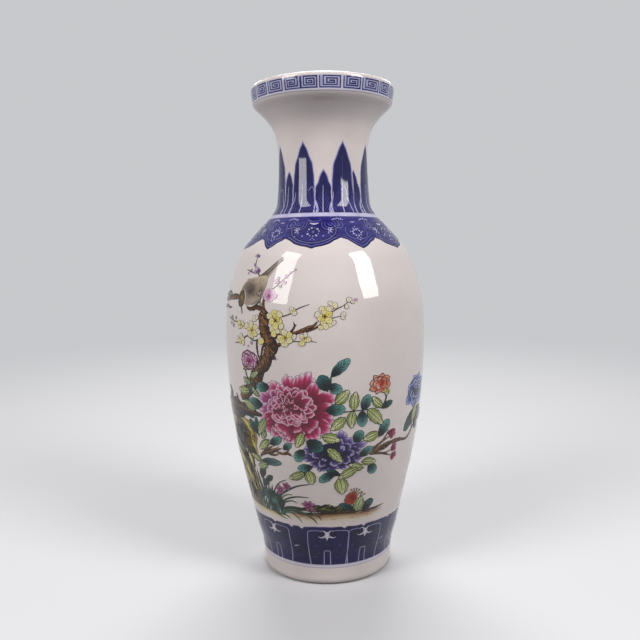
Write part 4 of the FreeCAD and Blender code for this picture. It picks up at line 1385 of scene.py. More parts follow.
for i, (root, tips) in enumerate((
        ((-31.0, 60.6), ((-34.6, 61.4), (-32.2, 64.0), (-28.8, 62.6), (-29.2, 58.4), (-33.0, 57.8))),
        ((-26.6, 63.4), ((-28.8, 65.4), (-25.6, 66.2), (-23.4, 64.2), (-24.6, 61.4), (-28.0, 61.4))),
        ((-12.8, 52.3), ((-17.2, 53.6), (-15.0, 55.6), (-10.8, 55.6), (-8.2, 53.8), (-9.2, 50.6),
        (-13.6, 49.2))), ((-9.6, 49.6), ((-11.4, 50.2), (-9.0, 51.2), (-7.8, 49.0))))):
    for j, tip in enumerate(tips):
        grass.level(26 + 4 * j)
        petal(grass, root, tip, 2.5, ORCHID, 1, line=hue(84, 30, 70), line_width=0.22, seed=i + j * 1.7,
            stops=(0, 0.35, 0.65, 0.9, 1.1), round_=0.5)
    grass.level(48)
    grass.dot(*root, 0.5, hue(206, 188, 120), hue(150, 100, 90), n=4)
grass.finish()

# Leaves of the peonies: soft teal ones and outlined yellow-green ones
teal = Coat("teal_leaves", ENAMEL, lift=0.21, step=0.0025)
leaf_group(teal, (
    ((2.6, 130.2), (12.2, 139.8), 5.8, TEAL, 0.05, 5), ((0.4, 122.2), (-3.4, 131.0), 7.8, DARK_TEAL, -0.05,
    5), ((0.8, 125.0), (8.0, 121.2), 6.0, TEAL, 0.10, 4), ((-0.4, 110.7), (10.0, 111.6), 6.9, TEAL, 0.04, 6),
    ((19.4, 110.2), (22.8, 119.1), 6.2, TEAL, -0.04, 5), ((19.2, 109.9), (19.9, 100.5), 6.4, TEAL, -0.05, 5),
    ((29.8, 110.9), (38.2, 113.4), 4.0, DARK_TEAL, -0.10, 4), ((30.4, 93.2), (36.9, 102.6), 6.4, TEAL, 0.06,
    5), ((15.0, 91.9), (19.7, 98.2), 6.4, TEAL, -0.04, 5), ((18.8, 82.9), (26.8, 87.6), 5.0, TEAL, 0.02, 5),
    ((25.2, 76.9), (29.4, 71.0), 6.2, TEAL, 0.10, 5), ((4.6, 73.6), (-4.9, 68.2), 5.2, TEAL, -0.06, 6),
    ((7.6, 72.4), (-0.4, 75.4), 3.6, DARK_TEAL, 0.02, 4), ((-8.6, 77.4), (-17.6, 76.0), 4.8, TEAL, 0.05, 5),
    ((-13.4, 87.6), (-18.2, 80.4), 6.2, TEAL, 0.02, 5), ((-11.2, 92.9), (-2.0, 87.9), 7.8, DARK_TEAL, -0.02,
    7), ((-34.0, 89.0), (-26.0, 93.2), 5.0, TEAL, 0.03, 5), ((-25.4, 86.9), (-20.2, 90.6), 4.0, TEAL, 0.02,
    4), ((-42.4, 77.3), (-27.6, 77.8), 4.6, GREY_TEAL, 0.03, 6), ((-36.6, 112.1), (-47.6, 112.8), 6.8, TEAL,
    0.05, 6), ((-31.4, 123.4), (-40.2, 122.4), 6.0, TEAL, 0.06, 5), ((-42.4, 94.0), (-48.4, 102.0), 4.6,
    DARK_TEAL, 0.08, 4), ((-42.0, 92.6), (-42.6, 104.0), 3.8, DARK_TEAL, 0.05, 4),
    ((-46.0, 66.2), (-41.2, 72.6), 4.8, DARK_GREEN, 0.10, 4), ((-41.8, 64.0), (-35.8, 68.4), 3.6, DARK_GREEN,
    0.10, 3), ((-45.4, 60.6), (-42.2, 65.6), 3.4, DARK_GREEN, -0.10, 3),
    ((24.4, 48.2), (31.6, 53.8), 5.4, DARK_TEAL, 0.14, 4), ((18.2, 48.8), (7.4, 53.4), 3.6, DARK_TEAL, -0.10,
    5), ((60.6, 104.6), (50.8, 92.6), 7.0, DARK_TEAL, 0.06, 6), ((63.0, 94.6), (70.8, 105.0), 7.6, DARK_GREEN,
    0.05, 4), ((66.0, 98.0), (79.0, 98.8), 6.6, DARK_GREEN, 0.05, 5),
    ((64.0, 96.0), (68.4, 90.8), 4.6, GREY_TEAL, 0.05, 3), ((-47.2, 117.6), (-41.8, 121.6), 3.2, GREY_TEAL,
    0.10, 3), ((-50.0, 104.6), (-44.0, 103.2), 2.6, DARK_TEAL, 0.1, 3)))

green = Coat("green_leaves", ENAMEL, lift=0.26, step=0.0025)
leaf_group(green, (
    ((4.6, 115.0), (11.6, 122.4), 5.8, GREEN, -0.08, 5), ((14.4, 110.6), (15.4, 121.2), 5.6, GREEN, 0.05, 5),
    ((31.2, 111.0), (24.9, 117.6), 4.8, GREEN, 0.12, 4), ((14.2, 109.9), (13.6, 100.1), 5.6, GREEN, -0.12, 5),
    ((22.2, 110.2), (31.8, 100.6), 6.8, GREEN, 0.06, 7), ((9.6, 106.6), (2.2, 99.6), 5.8, GREEN, 0.04, 5),
    ((-2.4, 95.6), (7.0, 93.0), 6.0, GREEN, 0.08, 5), ((29.6, 95.8), (20.4, 93.0), 5.6, GREEN, 0.10, 5),
    ((0.2, 88.6), (8.4, 80.0), 5.4, GREEN, 0.05, 6), ((20.4, 79.4), (29.8, 78.2), 4.6, GREEN, 0.05, 5),
    ((21.6, 75.4), (12.6, 78.6), 4.6, GREEN, 0.06, 5), ((17.8, 75.6), (6.6, 70.0), 5.2, GREEN, -0.04, 6),
    ((7.2, 70.2), (9.4, 59.9), 7.6, GREEN, 0.06, 6), ((-13.2, 97.6), (-17.4, 89.0), 5.2, GREEN, 0.05, 5),
    ((-13.6, 73.4), (-23.6, 69.2), 4.6, GREEN, 0.06, 6), ((-11.4, 74.6), (-9.2, 66.4), 6.2, GREEN, 0.05, 5),
    ((-34.8, 91.2), (-43.0, 84.6), 4.8, GREEN, 0.05, 5), ((-35.2, 103.6), (-41.6, 93.6), 5.6, PALE_GREEN,
    -0.06, 6), ((-36.6, 96.6), (-39.8, 91.6), 3.6, PALE_GREEN, 0.1, 3),
    ((-42.6, 108.2), (-52.2, 112.4), 5.2, PALE_GREEN, -0.05, 5), ((-46.0, 119.2), (-56.4, 118.8), 5.0, GREEN,
    0.05, 6), ((-38.0, 75.4), (-46.8, 72.4), 4.6, PALE_GREEN, -0.05, 5),
    ((-42.8, 77.4), (-51.4, 79.8), 4.0, GREEN, 0.05, 5), ((20.2, 48.0), (22.4, 57.2), 6.8, PALE_GREEN, 0.08,
    5), ((-43.8, 127.0), (-38.2, 131.0), 3.6, PALE_GREEN, 0.1, 3), ((-44.4, 123.6), (-50.6, 126.6), 3.4,
    PALE_GREEN, 0.1, 3), ((-38.4, 116.8), (-43.6, 121.6), 3.2, PALE_GREEN, 0.1, 3),
    ((34.2, 121.2), (33.2, 117.4), 3.6, GREEN, 0.05, 2), ((59.6, 96.4), (63.6, 107.6), 6.0, GREEN, 0.05, 5),
    ((-50.2, 131.4), (-45.6, 132.6), 2.2, PALE_GREEN, 0.1, 2)))

# Great magenta peony
ROSE = hues((100, 6, 50), (148, 18, 78), (184, 54, 110), (214, 146, 176), (234, 218, 223))
PLUM = hues((114, 28, 84), (144, 50, 110), (172, 92, 144), (212, 168, 198), (232, 218, 226))
PINK = hues((110, 12, 56), (142, 30, 82), (174, 68, 114), (216, 150, 178), (234, 206, 216))
ROSE_INK, PINK_INK, WINE = hue(74, 40, 72), hue(226, 184, 200), hue(78, 12, 44)
peony = Coat("magenta_peony", ENAMEL, lift=0.06, step=0.0015)
peony.patch((-18, 111), oval(-18, 111, 15.5, 13, 15), WINE, hue(140, 40, 90))
petals(peony, (
    ((-19, 114), (-20.8, 131.4), 8.8, 3, ROSE), ((-15, 116), (-14.6, 131.4), 6.0, 2, ROSE),
    ((-13, 114), (-9.0, 133.4), 10.6, 4, ROSE), ((-10, 113), (-4.8, 127.6), 7.8, 3, ROSE),
    ((-22, 113), (-31.2, 126.6), 9.8, 4, ROSE), ((-22, 112), (-25.6, 126.2), 7.0, 3, ROSE),
    ((-24, 111), (-39.6, 118.4), 9.8, 5, PLUM), ((-24, 108), (-39.8, 109.4), 9.6, 4, PLUM),
    ((-24, 106), (-38.8, 103.4), 8.2, 4, PINK), ((-24, 104), (-37.4, 97.8), 9.2, 4, ROSE),
    ((-8, 113), (5.2, 119.0), 11.0, 4, ROSE), ((-9, 110), (4.8, 111.4), 9.6, 4, ROSE),
    ((-9, 107), (4.4, 104.4), 9.2, 3, ROSE), ((-11, 105), (2.8, 99.0), 9.6, 4, ROSE),
    ((-13, 105), (-4.6, 93.8), 10.4, 4, ROSE), ((-17, 104), (-14.6, 93.6), 7.4, 3, ROSE),
    ((-18, 104), (-23.0, 90.4), 11.0, 5, ROSE), ((-21, 104), (-32.4, 94.0), 8.4, 4, ROSE)),
    beat=1.3, rise=5, grow=1.14, line=ROSE_INK, stops=(0, 0.58, 0.78, 0.90, 0.99), frill=0.085, round_=0.27)
petals(peony, (
    ((-15, 105.0), (-7.4, 99.4), 6.8, 4, ROSE), ((-13, 106), (-4.6, 102.4), 6.0, 4, ROSE),
    ((-18, 106), (-16.0, 97.8), 6.6, 4, ROSE), ((-20, 106.6), (-26.8, 94.8), 14.6, 7, PINK),
    ((-20, 106.6), (-26.4, 97.4), 11.0, 6, ROSE)),
    beat=2.1, rise=5, level=92, offset=0.6, line=PINK_INK, line_width=0.34, stops=(0, 0.62, 0.84, 0.95, 1.02),
    round_=0.1, shadow=WINE, frill=0.10)
# Curled petals in rings about the heart: reach, number, root's share, width and lobes
count = 0
for ring, (reach, number, root_at, wide, lobes) in enumerate((
        (1.0, 15, 0.62, 5.8, 4), (0.84, 13, 0.5, 5.0, 3), (0.68, 12, 0.38, 4.4, 3), (0.50, 9, 0.2, 3.8, 3),
        (0.34, 7, 0.05, 3.0, 2))):
    for j in range(number):
        t = 2 * math.pi * (j + 0.5 * (ring % 2) + rng.uniform(-0.22, 0.22)) / number
        f = reach * rng.uniform(0.93, 1.07)
        root, tip = [(-19.6 + 14.2 * q * math.cos(t), 112.6 + 12.2 * q * math.sin(t))
            for q in (f * root_at, f)]
        tones = PLUM if ring < 2 and 2.4 < t < 3.9 else (ROSE, PINK)[(j + ring) % 2]
        peony.level(118 + 13 * ring + 4 * (j % 3))
        petal(peony, root, tip, wide * rng.uniform(0.88, 1.15), tones, lobes, line=PINK_INK, line_width=0.36,
            seed=count * 1.7, stops=(0, 0.52, 0.80, 0.93, 1.02), round_=0.45, shadow=WINE, frill=0.13,
            bend=rng.uniform(-0.25, 0.25))
        count += 1
petals(peony, (
    ((-16, 114), (-12.4, 122.8), 5.4, 4, PINK), ((-15, 114), (-7.6, 118.4), 4.8, 3, PINK),
    ((-26.6, 110.2), (-27.2, 102.2), 9.2, 6, PINK), ((-26.4, 110.4), (-27.0, 103.8), 6.6, 4, ROSE),
    ((-26.0, 110.4), (-25.2, 105.6), 4.0, 3, PINK), ((-28.0, 110), (-29.6, 106.4), 3.2, 3, PINK),
    ((-16, 111.2), (-15.8, 103.8), 9.4, 6, PINK), ((-15.8, 111.0), (-15.4, 105.4), 6.6, 4, ROSE),
    ((-15.2, 110.6), (-14.2, 107.2), 3.8, 3, PINK), ((-17.2, 110.6), (-18.6, 107.6), 3.4, 3, PINK),
    ((-21, 110), (-21.4, 106.4), 4.0, 3, PINK)),
    beat=2.1, rise=4, level=180, offset=0.6, line=PINK_INK, line_width=0.42, stops=(0, 0.50, 0.80, 0.93, 1.0),
    round_=0.5, shadow=WINE, frill=0.12)
for i in range(46):
    t, r = rng.uniform(0, 2 * math.pi), math.sqrt(rng.uniform(0, 1))
    a, z = -22.4 + 4.6 * r * math.cos(t), 113.6 + 4.2 * r * math.sin(t)
    peony.level(226 + i % 6)
    if i % 2:
        peony.stroke([(a, z), (a + 0.5, z + 1.0), (a + rng.uniform(-0.4, 1.4), z + rng.uniform(1.2, 2.2))],
            0.5, (hue(70, 16, 44), hue(110, 26, 62), hue(60, 40, 48))[i % 3], ends=(0.5, 0.3), step=1.0)
    else:
        peony.dot(a, z, rng.uniform(0.32, 0.62), hue(226, 184, 196), hue(196, 124, 152), n=4)
peony.finish()

# Violet peony under it
VIOLET = hues((26, 18, 58), (46, 34, 86), (78, 62, 120), (136, 122, 172), (210, 200, 220))
LILAC = hues((48, 34, 86), (86, 70, 128), (130, 114, 166), (180, 168, 200), (222, 212, 226))
VIOLET_INK = hue(44, 36, 72)
violet = Coat("violet_peony", ENAMEL, lift=0.06, step=0.0015)
violet.patch((4, 84), [(-9, 84), (-5, 89), (2, 91.5), (9, 92), (14, 89), (16, 84), (13, 79), (4, 76.5),
    (-5, 78)], VIOLET[0], VIOLET[1])
for rows, first, line, width, shadow in (
        ((
        ((6, 88), (8.6, 99.2), 8.0, 4, LILAC), ((9, 88), (14.2, 94.6), 5.6, 3, LILAC),
        ((9, 87), (23.4, 90.6), 5.0, 3, LILAC), ((9, 86), (20.0, 86.8), 5.6, 3, VIOLET),
        ((8, 85), (20.4, 81.6), 6.6, 3, VIOLET), ((8, 84), (17.6, 77.8), 6.2, 3, VIOLET),
        ((6, 83), (10.6, 75.8), 6.4, 3, VIOLET), ((3, 83), (2.4, 74.6), 7.4, 4, VIOLET),
        ((1, 83), (-5.4, 74.8), 7.0, 4, VIOLET), ((0, 84), (-9.6, 78.0), 6.6, 3, VIOLET),
        ((0, 86), (-14.2, 82.0), 6.4, 3, VIOLET), ((1, 87), (-13.6, 88.0), 6.4, 3, VIOLET)), 0, VIOLET_INK,
        0.24, None), ((
        ((4, 87), (8.0, 94.0), 5.6, 3, VIOLET), ((7, 87), (13.4, 90.4), 5.2, 3, VIOLET),
        ((7, 86), (15.6, 85.2), 4.6, 2, VIOLET), ((6, 84), (13.2, 80.0), 5.0, 3, VIOLET),
        ((3, 85), (-3.4, 81.2), 5.4, 3, LILAC), ((5, 83), (3.6, 77.6), 4.6, 3, LILAC),
        ((0, 86), (-8.8, 84.4), 4.8, 2, VIOLET), ((1, 84), (-4.6, 77.8), 4.4, 2, VIOLET),
        ((6, 86.4), (9.8, 89.6), 3.6, 2, LILAC), ((6, 82.6), (8.4, 79.4), 3.6, 2, VIOLET)), 12, LILAC[3],
        0.34, hue(26, 18, 56))):
    petals(violet, rows, 1.7, 4, first=first, grow=1.1, line=line, line_width=width,
        stops=(0, 0.62, 0.82, 0.93, 1.02), shadow=shadow)
for a, z in ((8.0, 88.8), (9.4, 88.0), (-2.4, 82.2), (-1.0, 81.6), (3.0, 78.6), (2.0, 79.4), (13.8, 84.2)):
    violet.level(96)
    violet.dot(a, z, 0.6, hue(206, 198, 220), hue(140, 128, 176), squash=1.4, turn=a * 40, n=4)
for i in range(12):
    violet.level(90 + i % 3)
    a, z = rng.uniform(-1, 7), rng.uniform(88, 91)
    violet.stroke([(a, z), (a + rng.uniform(-1, 1.4), z + 1.2)], 0.6, hue(30, 22, 62), ends=(0.4, 0.3),
        step=1.0)
violet.finish()

# Small closed peony by the trunk: cupped petals ring on ring
cup = Coat("small_peony_bud", ENAMEL, lift=0.20)
MALLOW = hues((118, 34, 86), (150, 66, 116), (190, 124, 162), (220, 184, 206), (232, 214, 226))
cup.patch((-45, 137), oval(-45, 137.1, 6.2, 5.3), hue(190, 140, 172), hue(214, 180, 204))
petals(cup, (
    ((-45, 136), (-50.8, 140.4), 4.8, 2, PLUM), ((-45, 136), (-46.4, 143.2), 5.6, 2),
    ((-45, 136), (-40.6, 141.8), 4.6, 2), ((-44, 136), (-38.2, 137.8), 4.0, 2, PLUM),
    ((-45, 138), (-40.2, 133.2), 5.0, 2), ((-45, 138), (-45.4, 131.4), 6.2, 3),
    ((-45, 138), (-50.6, 133.6), 5.0, 2, PLUM), ((-45, 137), (-51.6, 137.0), 4.4, 2),
    ((-46, 139), (-48.2, 134.0), 4.2, 2), ((-44, 139), (-42.2, 133.8), 4.0, 2, PLUM),
    ((-45, 136), (-47.8, 140.4), 3.8, 2), ((-44.6, 136), (-43.0, 140.6), 3.6, 2)),
    beat=1.9, rise=3, level=3, tones=MALLOW, line=hue(96, 34, 78), line_width=0.5,
    stops=(0, 0.3, 0.6, 0.85, 1))
for i, (points, w) in enumerate((
        ([(-51.0, 138.6), (-49.6, 141.2), (-47.0, 142.4), (-44.6, 142.6), (-42.0, 141.4)], 0.9),
        ([(-42.4, 141.6), (-39.4, 140.6), (-38.4, 138.4), (-39.4, 136.2)], 0.9),
        ([(-50.8, 137.6), (-50.4, 135.0), (-48.4, 133.0), (-45.6, 132.2), (-42.8, 132.6), (-40.6, 134.4)],
        1.0), ([(-48.8, 140.4), (-46.2, 141.0), (-43.8, 139.6), (-43.0, 137.6)], 0.6),
        ([(-48.2, 136.0), (-46.2, 134.6), (-44.2, 136.0), (-44.6, 138.4), (-46.2, 139.0)], 0.6),
        ([(-42.4, 138.6), (-41.0, 137.2), (-41.6, 135.2)], 0.6), ([(-47.4, 133.8), (-45.0, 133.2),
        (-43.0, 134.0)], 0.5))):
    cup.level(42 + i)
    cup.stroke(points, w * 0.62, hue(112, 30, 80), ends=(0.4, 0.3), rough=0.2, seed=i)
cup.finish()

# Yellow winter blossoms on the upper branches
# Rim and middle of the petals, from the deepest yellow to the palest
YELLOW = [hues(*pair) for pair in (
    ((232, 224, 150), (206, 182, 84)), ((234, 230, 172), (220, 204, 116)),
    ((234, 228, 194), (222, 212, 156)), ((230, 224, 212), (224, 216, 190)))]
RUSSET = hue(122, 78, 44)
yellow = Coat("yellow_blossoms", ENAMEL, lift=0.26)


def rounds(coat, spots, tones, ink, line):
    """Round petals inside an inked line, each of angle, height, size and tone."""
    for i, (a, z, size, tone) in enumerate(spots):
        k = float(per_degree(z))
        w = np.radians(np.arange(0, 360, 24))
        f = size * 1.12 * (1 + 0.10 * np.sin(2 * w + i * 1.7) + 0.06 * np.sin(3 * w + i))
        rim = np.stack([a + f * np.cos(w) / k, z + f * np.sin(w)], -1)
        coat.level(4 * (i % 4))
        coat.patch((a, z), rim, tones[tone][1], tones[tone][0], n=7)
        coat.stroke(list(rim) + [rim[0], rim[1]], line, mix(ink, hue(60, 44, 20), 0.4 * (i % 2)), step=0.8,
            rough=0.3, seed=i)
        coat.stroke([(a - 0.5 * size / k, z - 0.3 * size), (a, z + 0.1),
            (a + 0.4 * size / k, z + 0.6 * size)], line * 0.8, mix(ink, tones[tone][0], 0.35),
            ends=(0.3, 0.2), step=0.8)


def stamens(coat, a, z, reach, n, ink, tip):
    """Threads that spread from a flower's middle, each with a dot at its end."""
    k = float(per_degree(z))
    for i in range(n):
        t = 2 * math.pi * i / n + a
        f = reach * (0.75 + 0.25 * math.sin(i * 2.4))
        coat.level(18 + i % 2)
        coat.stroke([(a + 0.15 * math.cos(t) / k, z + 0.15 * math.sin(t)),
            (a + f * math.cos(t) / k, z + f * math.sin(t))], 0.22, ink, step=1.2)
        coat.level(20)
        coat.dot(a + f * math.cos(t) / k, z + f * math.sin(t), 0.26, tip, n=3)
    coat.level(21)
    coat.dot(a, z, 0.42, ink, n=4)


rounds(yellow, (
    (-27.4, 165.2, 1.7, 1), (-30.2, 163.4, 1.6, 2), (-24.2, 164.6, 1.6, 2), (-28.8, 160.6, 1.7, 1),
    (-24.4, 160.4, 1.7, 1), (-26.4, 163.6, 1.4, 0), (-26.6, 158.4, 1.9, 1), (-23.2, 158.0, 1.5, 2),
    (-28.2, 156.2, 1.7, 2), (-25.6, 155.4, 1.6, 2), (-27.6, 153.6, 1.6, 1), (-25.2, 161.8, 1.2, 0),
    (-23.6, 151.6, 1.6, 1), (-21.4, 154.4, 1.7, 2), (-18.6, 153.0, 1.7, 1), (-18.6, 150.2, 1.6, 2),
    (-21.4, 148.4, 1.8, 2), (-21.0, 151.8, 1.3, 0), (-16.2, 152.4, 1.3, 3), (-22.8, 149.8, 1.3, 1),
    (-11.8, 152.4, 1.3, 2), (-10.2, 153.6, 1.2, 3), (-8.6, 151.0, 1.3, 2), (-12.0, 148.8, 1.4, 1),
    (-10.6, 150.8, 1.2, 1), (-16.8, 166.6, 1.5, 1), (-15.8, 165.4, 1.1, 3), (-17.6, 167.8, 1.1, 3),
    (-2.6, 163.0, 1.8, 1), (0.0, 166.8, 1.9, 1), (1.7, 164.8, 1.6, 0), (1.6, 161.4, 1.7, 1),
    (-1.2, 160.4, 1.5, 1), (-4.2, 164.8, 1.4, 3), (-1.8, 168.0, 1.3, 2), (1.8, 167.6, 1.3, 2),
    (2.2, 159.6, 1.5, 2), (4.0, 160.2, 1.2, 3), (-2.4, 157.6, 1.3, 2), (0.0, 158.2, 1.5, 2),
    (-0.4, 164.0, 1.3, 0), (-0.8, 162.4, 1.1, 0), (2.6, 170.9, 1.2, 3), (4.9, 169.6, 1.4, 2),
    (3.2, 168.6, 1.0, 3), (12.3, 172.6, 1.3, 3), (14.0, 171.2, 0.9, 3), (10.8, 168.9, 1.1, 3),
    (9.0, 164.6, 1.3, 3), (8.8, 162.8, 1.0, 3), (-44.4, 156.2, 1.8, 1), (-42.6, 158.2, 1.7, 2),
    (-39.6, 156.4, 1.8, 2), (-40.2, 153.2, 1.9, 1), (-43.6, 152.6, 1.8, 2), (-46.4, 157.2, 1.5, 3),
    (-42.0, 155.2, 1.3, 0), (-37.6, 154.4, 1.5, 3), (-41.8, 151.6, 1.3, 2), (-35.4, 149.0, 1.8, 1),
    (-50.2, 149.4, 1.5, 2), (-52.4, 147.6, 1.4, 1), (-49.4, 147.0, 1.3, 2), (-51.2, 151.2, 1.1, 3),
    (-54.4, 149.4, 1.0, 3), (-40.2, 161.6, 1.5, 3), (-38.6, 162.4, 1.2, 3), (-53.4, 158.2, 1.5, 1),
    (-51.6, 157.0, 1.6, 1), (-49.8, 158.2, 1.3, 2), (-47.4, 156.8, 1.2, 1), (-53.0, 156.0, 1.2, 2)), YELLOW,
    RUSSET, 0.20)
for a, z, reach, n in ((-26.3, 161.0, 1.7, 11), (-20.9, 151.7, 1.5, 9), (-0.4, 163.6, 1.8, 11),
        (-41.8, 154.8, 1.6, 9), (-10.8, 151.6, 0.9, 6), (-51.2, 157.4, 1.0, 6)):
    stamens(yellow, a, z, reach, n, hue(92, 74, 30), hue(206, 176, 66))
yellow.finish()

# Pale pink and lilac buds and single blossoms
pink = Coat("pink_blossoms", ENAMEL, lift=0.24)
for i, (points, w) in enumerate((([(-30.4, 177.6), (-27.2, 180.2), (-23.4, 183.6), (-20.4, 186.4),
        (-17.2, 188.8)], [0.5, 0.36, 0.34, 0.3]), ([(-27.2, 180.2), (-25.4, 180.2), (-23.0, 181.6)],
        [0.3, 0.24]), ([(-25.2, 182.0), (-26.8, 184.2)], [0.3, 0.2]))):
    pink.level(i)
    pink.stroke(points, w, hue(138, 104, 112), ends=(0.8, 0.3))
BLUSH = [hues(*pair) for pair in (
    ((150, 112, 156), (104, 62, 112)), ((196, 168, 200), (160, 122, 168)), ((216, 200, 218), (196, 172, 200)),
    ((222, 186, 208), (196, 132, 172)), ((170, 166, 176), (128, 124, 140)))]
rounds(pink, (
    (-43.4, 188.6, 1.6, 0), (-42.0, 188.4, 1.3, 0), (-44.6, 187.8, 1.0, 1), (-43.8, 189.6, 1.0, 2),
    (-47.6, 197.2, 0.8, 1), (-45.0, 196.8, 0.8, 0), (-46.6, 192.0, 0.8, 1), (-48.4, 189.0, 0.6, 1),
    (-50.4, 187.0, 0.6, 1), (-27.4, 182.6, 1.2, 3), (-26.4, 184.6, 0.7, 3), (-24.6, 179.8, 0.7, 3),
    (-22.4, 182.0, 1.0, 3), (-21.6, 185.6, 0.8, 3), (-19.2, 187.6, 0.6, 3), (-16.8, 189.2, 0.5, 3),
    (16.0, 172.5, 0.8, 3), (-62.0, 161.0, 1.1, 4), (-60.0, 156.4, 1.0, 4), (-57.0, 161.0, 0.8, 4),
    (-63.0, 157.6, 0.8, 4), (-42.4, 147.6, 0.9, 1), (-45.2, 145.6, 0.6, 2)), BLUSH, hue(150, 132, 156), 0.18)
STAR = hues((158, 78, 128), (190, 124, 164), (210, 166, 194), (222, 196, 212), (228, 214, 217))
for i, (a, z, w) in enumerate(((-34.4, 176.4, 3.2), (-32.0, 178.4, 3.2), (-28.8, 177.2, 3.0),
        (-27.2, 174.8, 3.0), (-29.4, 172.4, 3.0), (-33.2, 172.8, 3.0), (-32.6, 175.8, 2.0),
        (-30.2, 176.2, 1.8))):
    pink.level(3 * i)
    petal(pink, (-31.2, 174.8), (-31.2 + 1.3 * (a + 31.2), 174.8 + 1.25 * (z - 174.8)), w * 1.35, STAR, 2,
        line=hue(206, 172, 192), line_width=0.16, seed=i * 1.3, stops=(0, 0.3, 0.6, 0.85, 1.1))
pink.finish()

buds = Coat("mauve_buds", ENAMEL, lift=0.26)
petals(buds, (
    ((36.6, 94.6), (42.8, 92.8), 4.2, 3, PINK), ((37.4, 95.2), (42.6, 95.2), 2.8, 2, ROSE),
    ((38.2, 93.0), (40.6, 90.8), 2.6, 2, ROSE), ((40.6, 84.0), (44.6, 86.4), 3.6, 3, PINK),
    ((40.6, 83.4), (45.0, 83.6), 2.8, 2, ROSE), ((41.2, 85.0), (43.0, 87.4), 2.2, 2, PLUM),
    ((41.4, 80.4), (45.8, 79.0), 3.6, 3, PINK), ((41.4, 80.0), (43.4, 76.8), 3.0, 2, ROSE),
    ((42.4, 80.2), (45.2, 81.0), 2.2, 2, PLUM)),
    beat=2.3, rise=4, cycle=3, line=hue(96, 28, 60), line_width=0.26, stops=(0, 0.55, 0.85, 1, 1.2))
buds.finish()

# Orange-red flowers: a closed one on the right and an open one by the ground
RUST = hues((146, 34, 24), (190, 72, 48), (208, 116, 84), (222, 168, 146), (230, 204, 190))
rust = Coat("orange_flowers", ENAMEL, lift=0.24)
rust.patch((29.6, 124.4), oval(29.6, 124.6, 5.6, 4.7), RUST[1], RUST[2])
BLOOM = hues((186, 74, 54), (214, 132, 108), (228, 176, 158), (234, 204, 190), (232, 212, 202))
petals(rust, (
    ((28.6, 124.4), (23.2, 125.2), 6.0, 1, BLOOM), ((29, 124), (25.6, 129.3), 6.0, 1),
    ((30, 124), (30.6, 130.2), 6.4, 1), ((30.4, 124), (35.0, 128.2), 6.8, 1),
    ((30.4, 124.6), (35.8, 123.0), 6.8, 1), ((30, 125), (32.4, 119.2), 6.4, 1),
    ((29.4, 125), (27.2, 119.2), 6.6, 1), ((29, 124.6), (23.4, 121.4), 5.6, 1),
    ((29, 124.6), (26.0, 127.8), 4.4, 1, BLOOM), ((28.6, 124.8), (25.0, 124.4), 4.4, 1, BLOOM),
    ((29.4, 125), (29.4, 128.6), 4.2, 1, BLOOM), ((29.4, 125.4), (27.8, 121.4), 5.2, 1, BLOOM),
    ((30, 125), (32.8, 127.0), 4.6, 1), ((29.8, 124.8), (32.4, 122.4), 5.0, 1)),
    beat=1.3, rise=3, tones=RUST, line=hue(120, 28, 24), line_width=0.44, stops=(0, 0.45, 0.72, 0.9, 1.05),
    frill=0.0, round_=0.5, shadow=hue(112, 26, 22))
rust.level(44)
rust.stroke([(27.0, 127.4), (28.4, 129.0), (29.8, 127.4), (28.2, 126.2), (27.0, 127.2)], 0.36,
    hue(110, 44, 34))
rust.level(45)
for (a, z), (a1, z1) in (((33.6, 119.4), (32.2, 121.6)), ((33.8, 119.4), (34.4, 121.8)),
        ((33.4, 119.2), (31.2, 119.6))):
    rust.stroke([(a, z), ((a + a1) / 2 + 0.3, (z + z1) / 2), (a1, z1)], [1.4, 1.0, 0.3], hue(176, 170, 110),
        ends=(0.8, 0.3), step=0.8)
petals(rust, (
    ((15.4, 57.6), (11.0, 54.8), 3.8, 2), ((15.4, 57.0), (13.2, 53.0), 3.6, 2),
    ((15.6, 57.0), (16.6, 52.6), 3.4, 2), ((15.6, 57.6), (11.4, 58.0), 3.6, 2),
    ((15.8, 57.2), (13.6, 60.4), 3.4, 2), ((16.0, 57.0), (17.4, 60.9), 3.2, 2),
    ((16.0, 57.0), (19.4, 58.8), 3.4, 2), ((16.0, 57.0), (19.6, 55.2), 3.0, 2),
    ((15.8, 56.8), (14.0, 55.0), 2.6, 2), ((15.8, 57.4), (15.4, 59.4), 2.4, 2)),
    beat=1.9, rise=4, cycle=6, tones=hues((120, 36, 24), (160, 56, 34), (186, 82, 50), (206, 120, 84),
    (214, 150, 118)),
    line=hue(92, 30, 22), line_width=0.26, stops=(0, 0.45, 0.8, 1.0, 1.2))
for a, z, a1, z1 in ((16.4, 59.6, 15.0, 62.4), (17.2, 60.0, 16.8, 62.8), (18.0, 60.0, 18.6, 62.8),
        (18.8, 59.6, 20.4, 61.8), (19.4, 58.8, 22.0, 60.2), (21.4, 57.0, 24.4, 58.6),
        (21.0, 56.6, 22.6, 59.8)):
    rust.level(30)
    rust.stroke([(a, z), ((a + a1) / 2, (z + z1) / 2 + 0.2), (a1, z1)], 0.26, hue(120, 110, 66),
        ends=(1, 0.4), step=1.0)
    rust.dot(a1, z1, 0.45, hue(176, 150, 80), hue(150, 110, 60), n=4)
rust.finish()

